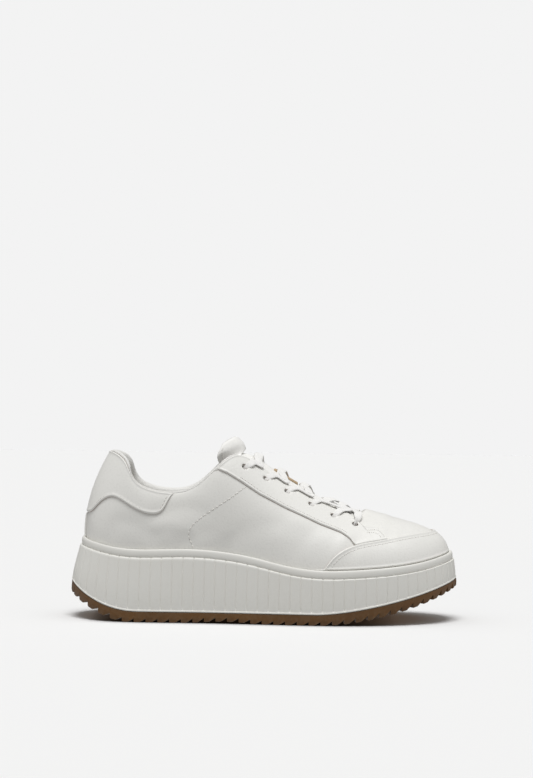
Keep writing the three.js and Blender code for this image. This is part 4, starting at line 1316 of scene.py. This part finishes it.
@dataclass
class Upper:
    """The white leather upper with its overlays and stitching."""

    columns: int = 460
    rows: int = 80
    fold: float = 0.8
    stitch_stand: float = 1.0 + 0.08

    def shell(self, wardrobe: Wardrobe) -> bpy.types.Object:
        """The base wall: S(t, v) and the same surface one wall thickness inside it, with the lace holes."""
        t = np.linspace(0, LAST.ring, self.columns, endpoint=False)[:, None]
        v = np.append(np.linspace(0, 0.985, self.rows), [0.9925, 0.9965, 0.999, 1.0])[None, :]
        t, v = np.broadcast_arrays(t, v)
        height = np.linalg.norm(LAST.wall(t[:, -1:], v[:, -1:]) - LAST.wall(t[:, :1], v[:, :1]), axis=-1)
        edge = np.clip((1 - v) * height / self.fold, 0, 1)
        tuck = 0.55 * (1 - np.sqrt(1 - (1 - edge) ** 2))
        face = LAST.skin(t, v, -tuck)
        under = LAST.skin(t, v, tuck - LAST.wall_thickness).reshape(-1, 3)
        run = travelled(face[:, self.rows // 2])
        flat = np.stack(np.broadcast_arrays(run[:, None], v * height), -1)
        top = sheet(face, flat, wrap_rows=True)
        for inner in (False, True):
            bored = Holes(inner).cut(top)
            under = under + bored.points - top.points
            top = bored
        body = closed_body(top, under, under_slot=1)
        piece = make_object("upper_leather", body, wardrobe["leather"], wardrobe["lining"])
        dress(piece, "leather", "upper")
        return piece

    def build(self, wardrobe: Wardrobe) -> None:
        """Makes the base wall, every overlay, and the rows of stitches."""
        self.shell(wardrobe)
        sewing = Stitching()
        arcs = Stitching(pitch=3.3, length=2.2, radius=0.36)
        rim = lambda t: LAST.crossing(t, lambda x: LAST.rim(x) + 0.15)
        edge = lambda t: np.ones_like(t)
        self.toe_cap(wardrobe, sewing, rim)
        self.counter(wardrobe, sewing, rim, edge)
        for inner in (False, True):
            self.facing(wardrobe, sewing, inner, edge)
            t, v = LAST.locate(QUARTER_STITCH, inner)
            places = np.linspace(0, len(t) - 1, 90)
            arcs.along(catmull(t, places), catmull(v, places), 0.1)
        sewing.build(wardrobe, "stitching")
        arcs.build(wardrobe, "quarter_stitching")

    def toe_cap(self, wardrobe: Wardrobe, sewing: Stitching, rim: Callable[[Array], Array]) -> None:
        """The cap round the toe, with two rows of stitches under its edge."""
        panel = Panel(rim, lambda t: LAST.crossing(t, CAP_LINE), LAST.toe, columns=340, rows=26)
        piece = make_object("toe_cap_leather", panel.body(), wardrobe["leather"], wardrobe["raw_edge_painted_shade"])
        dress(piece, "leather", "toe_cap")
        t, v = panel.edge_path(high=True, keep=lambda p: p[:, 2] > LAST.rim(p[:, 0]) + 4)
        for inwards in (-1.4, -3.6):
            sewing.along(*beside(t, v, inwards), self.stitch_stand)

    def counter(self, wardrobe: Wardrobe, sewing: Stitching, rim: Callable, edge: Callable) -> None:
        """The heel counter under the collar, and the strip that covers the back seam below it."""
        panel = Panel(lambda t: LAST.crossing(t, counter_line), edge, 0.0, columns=300, rows=22)
        piece = make_object("heel_counter_leather", panel.body(), wardrobe["leather"], wardrobe["raw_edge_painted_shade"])
        dress(piece, "leather", "heel_counter")
        t, v = panel.edge_path(high=False, keep=lambda p: p[:, 0] < -66)
        sewing.along(*beside(t, v, 2.1), self.stitch_stand)
        half = 0.2
        middle = 0.0
        top = lambda t: LAST.crossing(t, lambda x: np.full_like(x, COUNTER_SEAM[0][1] - 0.5))
        strip = Panel(rim, top, middle, columns=22, rows=30, ends=(middle - half, middle + half))
        piece = make_object("back_strip_leather", strip.body(), wardrobe["leather"], wardrobe["raw_edge_painted_shade"])
        dress(piece, "leather", "back_strip")
        v = np.linspace(strip.from_v.mean() + 0.02, strip.to_v.mean() - 0.03, 60)
        for side in (-1, 1):
            sewing.along(np.full_like(v, middle + side * 0.62 * half), v, self.stitch_stand)

    def facing(self, wardrobe: Wardrobe, sewing: Stitching, inner: bool, edge: Callable) -> None:
        """One side's lace facing with its holes, a row of stitches along its lower edge and two at its front."""
        sign = -1 if inner else 1
        low = lambda t: LAST.crossing(t, FACING_LOW)
        high = lambda t: np.minimum(edge(t), LAST.crossing(t, FACING_HIGH))
        panel = Panel(low, high, sign * 8.5, columns=300, rows=34)
        side = "inner" if inner else "outer"
        body = panel.body(Holes(inner))
        piece = make_object(f"facing_{side}_leather", body, wardrobe["facing"], wardrobe["raw_edge_painted_shade"])
        dress(piece, "leather", f"facing_{side}")
        t, v = panel.edge_path(high=False, keep=lambda p: (p[:, 0] > -20) & (p[:, 0] < 57))
        sewing.along(*beside(t, v, 2.4), self.stitch_stand)
        places = np.linspace(0, len(FRONT_STITCH) - 1, 60)
        for drop in (0.0, 1.7):
            t, v = LAST.locate([(x - 0.9 * drop, z - drop) for x, z in FRONT_STITCH], inner)
            sewing.along(catmull(t, places), catmull(v, places), self.stitch_stand)


@dataclass
class Collar:
    """The padded collar: a foam roll over the upper's edge and down inside it, from one facing to the other."""

    end: float = 7.25
    columns: int = 260
    samples: int = 64
    profile: tuple[tuple[float, float], ...] = (
        (-0.45, 0.1), (-0.2, 0.75), (-0.45, 1.4), (-1.3, 1.95), (-2.6, 2.0), (-4.2, 1.4), (-5.6, 0.0), (-6.6, -2.6),
        (-7.2, -7.0), (-7.0, -14.0), (-6.0, -22.0), (-3.6, -29.5), (-2.75, -30.0), (-2.6, -22.0), (-2.6, -10.0),
        (-2.6, -1.0), (-1.9, 0.45),
    )  # out from the upper's face and up from its edge

    def build(self, wardrobe: Wardrobe) -> bpy.types.Object:
        """Carries the profile round the collar, thinner towards both ends."""
        t = np.linspace(-self.end, self.end, self.columns)[:, None]
        knots = np.array(self.profile)
        ring = np.concatenate([knots[-2:], knots, knots[:3]])
        places = 2 + np.linspace(0, len(knots), self.samples, endpoint=False)
        out, up = catmull(ring, places).T[:, None, :]
        depth = 1 - 0.8 * smooth(np.abs(t), 5.0, 6.3)
        rise = 1 - 0.75 * smooth(np.abs(t), 6.9, self.end)
        out = np.where(out < -1.3, -1.3 + (out + 1.3) * depth, out)
        up = up * np.where(up < 0, depth, rise)
        height = LAST.edge_z(t) - LAST.footbed(LAST.edge_x(t))
        share = 1 + np.minimum(up, 0) / height
        climb = unit(LAST.wall(t, np.ones_like(t)) - LAST.wall(t, np.full_like(t, 0.98)))
        points = LAST.wall(t, share) + climb * np.maximum(up, 0)[..., None]
        points += LAST.normal(t, share) * out[..., None]
        puff = 0.25 * np.sin(TAU * t / 0.9) * smooth(-out, 4, 8)
        points -= LAST.normal(t, share) * puff[..., None]
        around = np.linspace(0, 74, self.samples)
        flat = np.stack(np.broadcast_arrays(travelled(points[:, 8])[:, None], around[None, :]), -1)
        piece = make_object("collar_padded", stack(points, flat), wardrobe["lining"])
        dress(piece, "lining", "collar_pad", fill=0.8)
        return piece


# ---------------------------------------------------------------- tongue and laces
@dataclass(frozen=True)
class TongueRow:
    """The tongue at a station: how far its wings reach down, how high its crown arches, and its thickness."""

    station: float
    wing: float
    arch: float
    thick: float


@dataclass(frozen=True)
class TongueTop:
    """A row of the tongue's free top: its crown, its swept-back edge and its half width."""

    crown_x: float
    crown_z: float
    edge_x: float
    edge_z: float
    half: float


@dataclass
class Tongue:
    """The padded tongue: it lies under the facings and stands free above them."""

    rows: tuple[TongueRow, ...] = (
        TongueRow(7.1, 0.22, 0.2, 6), TongueRow(8, 0.3, 0.46, 6), TongueRow(9, 0.32, 0.55, 5.5),
        TongueRow(10, 0.32, 0.55, 4.5), TongueRow(11, 0.26, 0.45, 3.5), TongueRow(12.1, 0.14, 0.3, 2.5),
    )
    top: tuple[TongueTop, ...] = (
        TongueTop(-14.5, 120.5, -31, 109, 21), TongueTop(-17.5, 126.3, -33.5, 117, 22.5), TongueTop(-22.5, 130.3, -31, 124, 19),
    )
    under: float = -(LAST.wall_thickness + 2 * GAP)
    sink: float = 1.5
    fine_rows: int = 110
    fine_columns: int = 96

    def __post_init__(self) -> None:
        """Prepares the table's columns."""
        self.station, self.wing, self.arching, self.thick = (
            np.array([getattr(r, key) for r in self.rows]) for key in ("station", "wing", "arch", "thick")
        )
        self.middle = float(LAST.edge_y(np.array(float(LAST.toe))))

    def crown(self, t: Array, c: Array) -> Array:
        """The crown over the gap between the facings: a cubic Bezier from edge to edge, c being 0 at the outer one.

        Its handles climb as the walls do and are as long as the gap times the arching.
        """
        t, c = np.broadcast_arrays(np.asarray(t, float), np.asarray(c, float))
        wing = np.interp(t, self.station, self.wing)
        mid_share = lerp(1 - wing, 0.97, 0.5)
        ends = [LAST.on_wall(side * t, np.full_like(t, 0.97), self.under) for side in (1, -1)]
        lower = [LAST.on_wall(side * t, mid_share, self.under) for side in (1, -1)]
        run = np.linalg.norm(ends[1] - ends[0], axis=-1) * np.interp(t, self.station, self.arching)
        handles = []
        for end, below in zip(ends, lower):
            climb = end - below
            climb[..., 0] = 0
            handles.append(end + unit(climb) * run[..., None])
        c = c[..., None]
        r = 1 - c
        return r**3 * ends[0] + 3 * r * r * c * handles[0] + 3 * r * c * c * handles[1] + c**3 * ends[1]

    def arch(self, t: Array, s: Array) -> Array:
        """A row under the facings, s running from -1 over the crown at 0 to 1: wings on the walls, then the crown."""
        t, s = np.broadcast_arrays(t, s)
        wing = np.interp(t, self.station, self.wing)
        reach = np.clip((np.abs(s) - 0.7) / 0.3, 0, 1)
        share = lerp(0.97, 1 - wing, reach)
        side = np.where(s < 0, 1.0, -1.0)
        wings = LAST.on_wall(side * t, share, self.under - self.sink)
        crown = self.crown(t, np.clip((s / 0.7 + 1) / 2, 0, 1))
        crown[..., 2] -= self.sink * np.clip(np.abs(s) / 0.7, 0, 1) ** 3
        return np.where((np.abs(s) > 0.7)[..., None], wings, crown)

    def free(self, row: TongueTop, s: Array) -> Array:
        """A row of the free top: its edges swept back and down as the square of s."""
        bow = s * s
        x = lerp(row.crown_x, row.edge_x, bow)
        z = lerp(row.crown_z, row.edge_z, bow)
        return np.stack([x, self.middle + row.half * s * (1.3 - 0.3 * bow), z], -1)

    def face(self) -> tuple[Array, Array]:
        """The tongue's top face as a fine grid, and its thickness at each row."""
        s = np.linspace(-1, 1, self.fine_columns)
        stations = np.linspace(12.1, 7.1, 12)
        low = self.arch(stations[:, None], s[None, :])
        high = np.stack([self.free(row, s) for row in self.top])
        knots = np.concatenate([low, high])
        places = np.linspace(0, len(knots) - 1, self.fine_rows)
        thick = np.interp(places, np.arange(12), np.interp(stations, self.station, self.thick))
        return catmull(knots, places), thick

    def build(self, wardrobe: Wardrobe, sewing: Stitching) -> bpy.types.Object:
        """The closed pad: its middle surface, with a half thickness that rounds to nothing at every edge."""
        face, thick = self.face()
        ahead = np.gradient(face, axis=0)
        across = np.gradient(face, axis=1)
        down = unit(np.cross(ahead, across))
        column = np.linspace(-1, 1, self.fine_columns)[None, :]
        half = thick[:, None] / 2 * (1 - 0.5 * column**2)
        from_side = np.cumsum(np.linalg.norm(np.diff(face, axis=1, prepend=face[:, :1]), axis=-1), axis=1)
        from_top = np.cumsum(np.linalg.norm(np.diff(face[::-1], axis=0, prepend=face[-1:]), axis=-1), axis=0)[::-1]
        side = np.minimum(from_side, from_side[:, -1:] - from_side)
        near = np.clip(np.minimum(side / 2.2, from_top / 3.0), 0, 1)
        round_edge = np.sqrt(np.clip(1 - (1 - near) ** 2, 0, 1))
        middle = face + down * half[..., None]
        puff = 0.35 * smooth(from_top, 4, 9) * smooth(side, 2.5, 7)
        top = middle - down * (half * np.maximum(round_edge, 0.03) + puff)[..., None]
        under = middle + down * (half * np.maximum(round_edge, 0.03))[..., None]
        flat = np.stack([from_side, from_top], -1)
        body = closed_body(sheet(top, flat), under.reshape(-1, 3))
        piece = make_object("tongue_padded", body, wardrobe["tongue"])
        dress(piece, "leather", "tongue", fill=0.6)
        self.sew_edges(top, -down, from_top, side, sewing)
        return piece

    def sew_edges(self, top: Array, up: Array, from_top: Array, side: Array, sewing: Stitching) -> None:
        """A row of stitches inside each side edge of the free top."""
        inwards = 3.4
        rows = np.flatnonzero(from_top[:, 0] < 26)[::-1]
        rows = rows[from_top[rows, 0] > inwards + 1]
        for flip in (False, True):
            half = slice(self.fine_columns // 2, None) if flip else slice(0, self.fine_columns // 2)
            column = np.argmin(np.abs(side[rows, half] - inwards), axis=1)
            column = column + (self.fine_columns // 2 if flip else 0)
            sewing.sew(top[rows, column], up[rows, column])

    def label(self, wardrobe: Wardrobe) -> bpy.types.Object:
        """A blank tan patch sewn on the crown between the first two crossings."""
        t = np.linspace(9.0, 8.3, 60)
        c = np.linspace(0.37, 0.76, 70)
        grid_t, grid_c = np.meshgrid(t, c, indexing="ij")
        base = self.crown(grid_t, grid_c)
        base[..., 2] -= self.sink * np.abs(2 * grid_c - 1) ** 3
        up = unit(np.cross(np.gradient(base, axis=1), np.gradient(base, axis=0)))
        up *= np.sign(up[..., 2:])
        far = lambda n: np.minimum(np.arange(n), np.arange(n)[::-1])
        edge = np.minimum(far(60)[:, None] * 0.3, far(70)[None, :] * 0.3)
        lift = 0.75 + 0.75 * np.sqrt(np.clip(1 - (1 - np.clip(edge / 0.9, 0, 1)) ** 2, 0, 1))
        flat = np.stack(np.meshgrid(np.arange(60) * 0.3, np.arange(70) * 0.3, indexing="ij"), -1)
        body = closed_body(sheet(base + up * lift[..., None], flat), (base + up * 0.4).reshape(-1, 3))
        piece = make_object("tongue_label", body, wardrobe["label"])
        dress(piece, "label")
        return piece


@dataclass
class Laces:
    """The flat woven laces: five crossings and a straight bar, carried through the holes."""

    tongue: Tongue
    width: float = 6.0
    thickness: float = 1.3
    hole_width: float = 3.5
    over: float = GAP + OVERLAY
    samples: int = 84

    def strap(self, at: Array, up: Array, at_hole: Sequence[bool]) -> Surface:
        """A flat lace along a smooth path: a rounded section that gathers in at the holes.

        Args:
            at: the path's points.
            up: the direction that the lace's face looks at each.
            at_hole: True at the points that lie in a hole.

        Returns:
            The lace, closed at both ends.
        """
        places = np.linspace(0, len(at) - 1, self.samples)
        path = catmull(at, places)
        faces = unit(catmull(up, places))
        gather = np.clip(np.interp(places, np.arange(len(at)), np.array(at_hole, float)), 0, 1)
        _, side, top = path_frame(path, faces)
        angle = np.linspace(0, TAU, 20, endpoint=False)
        flatness = 0.6
        cos, sin = np.cos(angle), np.sin(angle)
        across = np.sign(cos) * np.abs(cos) ** flatness
        lift = np.sign(sin) * np.abs(sin) ** 0.85
        half_width = lerp(self.width, self.hole_width, gather)[:, None] / 2
        half_thick = lerp(self.thickness, self.thickness * 1.25, gather)[:, None] / 2
        middle_dip = 1 - 0.12 * (1 - across[None, :] ** 2)
        points = (
            path[:, None]
            + side[:, None] * (half_width * across)[..., None]
            + top[:, None] * (half_thick * lift * middle_dip)[..., None]
        )
        flat = np.stack(np.broadcast_arrays(travelled(path)[:, None], np.linspace(0, 2 * self.width, 20)[None, :]), -1)
        return stack(points, flat)

    def course(self, k: int, towards_inner: bool) -> Surface:
        """One lace from the hole of row k + 1 on one side, under that facing, over the tongue and into row k's."""
        far = Holes(inner=not towards_inner)
        near = Holes(inner=towards_inner)
        t0, v0 = far.t[k + 1], far.v[k + 1]
        t1, v1 = near.t[k], near.v[k]
        a0 = abs(t0)
        flip = 1.0 if towards_inner else -1.0
        wall = lambda t, v, stand: (LAST.on_wall(np.array(t), np.array(v), stand), LAST.normal(np.array(t), np.array(v)))
        ridge = 1.0 if towards_inner else 0.0

        x, z = EYELETS[k]
        steps = [(x + dx, z + dz) for dx, dz in ((1.0, 0.1), (3.2, 0.9), (5.6, 2.1), (7.6, 3.2))]
        ts, vs = LAST.locate(steps, towards_inner)
        a_edge = abs(float(ts[-1]))

        def crown(share: float, across: float, lift: float) -> tuple[Array, Array]:
            """A point over the tongue's crown, share being 0 beside this side's edge and 1 beside the far hole."""
            c = 0.5 + flip * (across - 0.5)
            at = self.tongue.crown(np.array(lerp(a_edge, a0, share)), np.array(c))
            lean = 0.9 * (c - 0.5)
            return at + np.array([0.35, 0.0, 0.94]) * lift, unit(np.array([0.42, lean, 0.9]))

        below = -LAST.wall_thickness
        base = 0.3 + self.thickness / 2
        points = [
            wall(t0, v0, below - 2.6),
            wall(t0, lerp(v0, 1.0, 0.35), below - 1.6),
            wall(t0, 0.975, below - 0.75),
            crown(0.92, 0.14, base + 0.7),
            crown(0.76, 0.32, base + 1.2 + 0.8 * ridge),
            crown(0.55, 0.5, base + 1.2 + 1.6 * ridge),
            crown(0.34, 0.7, base + 2.0 + 0.7 * ridge),
            crown(0.14, 0.88, base + 3.2),
            wall(ts[3], min(vs[3], 0.985), self.over + base),
            wall(ts[2], vs[2], self.over + base - 0.15),
            wall(ts[1], vs[1], self.over + base - 0.45),
            wall(ts[0], vs[0], below + 1.3),
            wall(lerp(t1, float(ts[0]), 0.7), v1, below - 2.4),
        ]
        holes = [1, 0.3, 0, 0, 0, 0, 0, 0, 0, 0.1, 0.55, 1, 1]
        ups = [p[1] for p in points]
        inward = unit(near.centres[k] - LAST.wall(ts[1], vs[1]))
        ups[-3] = unit(ups[-3] + 0.8 * inward)
        ups[-2] = inward
        ups[-1] = inward
        return self.strap(np.array([p[0] for p in points]), np.array(ups), holes)

    def bar(self) -> Surface:
        """The straight course: up out of the last hole on one side, over the crown, and down into the other's."""
        sides = []
        x, z = EYELETS[-1]
        steps = [(x + dx, z + dz) for dx, dz in ((0, 0), (0.3, 0.4), (1.3, 1.7), (1.9, 3.6), (2.2, 5.8))]
        depths = ((-4.4, 1.0), (-1.3, 1.0), (0.75, 0.6), (1.3, 0.1), (1.5, 0.0))
        for inner in (False, True):
            ts, vs = LAST.locate(steps, inner)
            outer = unit(LAST.wall(ts[0], vs[0] - 0.05) - LAST.wall(ts[0], vs[0]))
            half = []
            for t, share, (stand, hole) in zip(ts, vs, depths):
                face = LAST.normal(t, share)
                half.append((LAST.on_wall(t, share, stand + self.over - 0.4), unit(lerp(face, outer, hole)), hole))
            sides.append(half)
        t = abs(float(ts[-1]))
        lifts = ((0.2, 2.4), (0.5, 1.9), (0.8, 2.4))
        middle = []
        for c, lift in lifts:
            spot = self.tongue.crown(np.array(t), np.array(c))
            middle.append((spot + np.array([0.3, 0, 0.95]) * lift, unit(np.array([0.35, 0.9 * (c - 0.5), 0.94])), 0.0))
        whole = sides[0] + middle + sides[1][::-1]
        return self.strap(np.array([p[0] for p in whole]), np.array([p[1] for p in whole]), [p[2] for p in whole])

    def build(self, wardrobe: Wardrobe) -> None:
        """Makes each crossing as one piece, and the bar."""
        for k in range(len(EYELETS) - 1):
            crossing = self.course(k, False) + self.course(k, True)
            piece = make_object(f"lace_crossing_{k + 1}", crossing, wardrobe["lace"])
            dress(piece, "lace", f"lace_cross_{k + 1}")
        piece = make_object("lace_straight", self.bar(), wardrobe["lace"])
        dress(piece, "lace", "lace_bar")


# ---------------------------------------------------------------- studio
@dataclass
class Studio:
    """A pale room with soft light from above, a plain floor, and the camera."""

    distance: float = 1.5436
    eye_height: float = 0.1632
    lens: float = 100.0
    sensor: float = 36.0
    roll: float = -0.707
    backdrop: float = 0.896
    floor_albedo: float = 0.838
    floor_half: float = 4000.0
    contact_reach: float = 0.012
    contact_samples: int = 16
    zenith: float = 0.5
    horizon: float = 0.2
    below: float = 0.76
    sides: float = 1.0
    lamp: float = 2.2
    lamp_size: float = 30.0
    lamp_tilt: float = 16.0

    def camera(self) -> None:
        """A long lens on the outer side, level, a little above the shoe and turned slightly about its own axis."""
        data = bpy.data.cameras.new("camera")
        data.lens = self.lens
        data.sensor_width = self.sensor
        data.clip_end = 50
        eye = bpy.data.objects.new("camera", data)
        eye.location = (0, -self.distance, self.eye_height)
        eye.rotation_euler = (math.radians(90), math.radians(self.roll), 0)
        bpy.context.scene.collection.objects.link(eye)
        bpy.context.scene.camera = eye

    def sky(self) -> None:
        """Light by direction: bright overhead and at both ends; the camera sees one even tone."""
        world = bpy.data.worlds.new("room")
        world.use_nodes = True
        bpy.context.scene.world = world
        net = Net(world.node_tree)
        way = net.node("SeparateXYZ", {0: net.node("TexCoord").outputs["Generated"]}).outputs
        height = way["Z"]
        upper = net.span(height, 0.0, 1.0, self.horizon, self.zenith)
        lower = net.span(height, -1.0, 0.0, self.below, self.horizon)
        under = net.math("LESS_THAN", height, 0.0)
        over = net.math("SUBTRACT", 1.0, under)
        light = net.math("ADD", net.math("MULTIPLY", under, lower), net.math("MULTIPLY", over, upper))
        ends = net.math("MULTIPLY", net.math("POWER", net.math("ABSOLUTE", way["X"]), 4.0), under)
        light = net.math("MULTIPLY_ADD", ends, self.sides, light)
        seen = net.node("LightPath").outputs["Is Camera Ray"]
        plain = net.node("Background", {"Color": (self.backdrop,) * 3 + (1.0,), "Strength": 1.0})
        lit = net.node("Background", {"Color": (1.0, 1.0, 0.99, 1.0), "Strength": light})
        mix = net.node("MixShader", {0: seen, 1: lit.outputs[0], 2: plain.outputs[0]})
        net.node("OutputWorld", {"Surface": mix.outputs[0]})

    def light(self) -> None:
        """A wide soft lamp overhead, slightly towards the viewer."""
        data = bpy.data.lights.new("overhead", "SUN")
        data.energy = self.lamp
        data.angle = math.radians(self.lamp_size)
        lamp = bpy.data.objects.new("overhead", data)
        lamp.rotation_euler = (math.radians(self.lamp_tilt), 0, 0)
        bpy.context.scene.collection.objects.link(lamp)

    def floor(self) -> None:
        """A plain pale floor, its colour darkened by painted contact shade (an ambient-occlusion node) where the shoe
        comes close; it doesn't light the shoe from below.
        """
        half = self.floor_half
        corners = np.array([[-half, -half, 0], [half, -half, 0], [half, half, 0], [-half, half, 0]])
        material = bpy.data.materials.new("floor")
        material.use_nodes = True
        net = Net(material.node_tree)
        pale = (self.floor_albedo,) * 3 + (1.0,)
        near = {"Color": pale, "Distance": self.contact_reach}
        # Painted contact shade: the floor's colour darkens where the shoe's surfaces come within the reach.
        painted_contact_shade = net.node("AmbientOcclusion", near, samples=self.contact_samples)
        matt = {"Base Color": painted_contact_shade.outputs["Color"], "Roughness": 1.0, "Specular IOR Level": 0.0}
        shader = net.node("BsdfPrincipled", matt)
        net.node("OutputMaterial", {"Surface": shader.outputs[0]})
        piece = make_object("floor", Surface(corners, np.array([[0, 1, 2, 3]])), material, closed=False)
        piece.visible_diffuse = False
        piece.visible_glossy = False

    def build(self) -> None:
        """Sets the room up."""
        self.camera()
        self.sky()
        self.light()
        self.floor()
        view = bpy.context.scene.view_settings
        view.view_transform = "Standard"
        view.look = "None"
        view.exposure = 0
        view.gamma = 1


def main() -> None:
    """Loads the frame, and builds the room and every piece."""
    logging.basicConfig(level=logging.INFO, format="%(name)s: %(message)s")
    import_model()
    Studio().build()
    wardrobe = Wardrobe()
    Outsole().build(wardrobe)
    Midsole().build(wardrobe)
    Insole().build(wardrobe)
    Upper().build(wardrobe)
    Collar().build(wardrobe)
    tongue = Tongue()
    edges = Stitching(pitch=2.8, radius=0.36)
    tongue.build(wardrobe, edges)
    edges.build(wardrobe, "tongue_stitching")
    tongue.label(wardrobe)
    Laces(tongue).build(wardrobe)


if __name__ == "__main__":
    main()
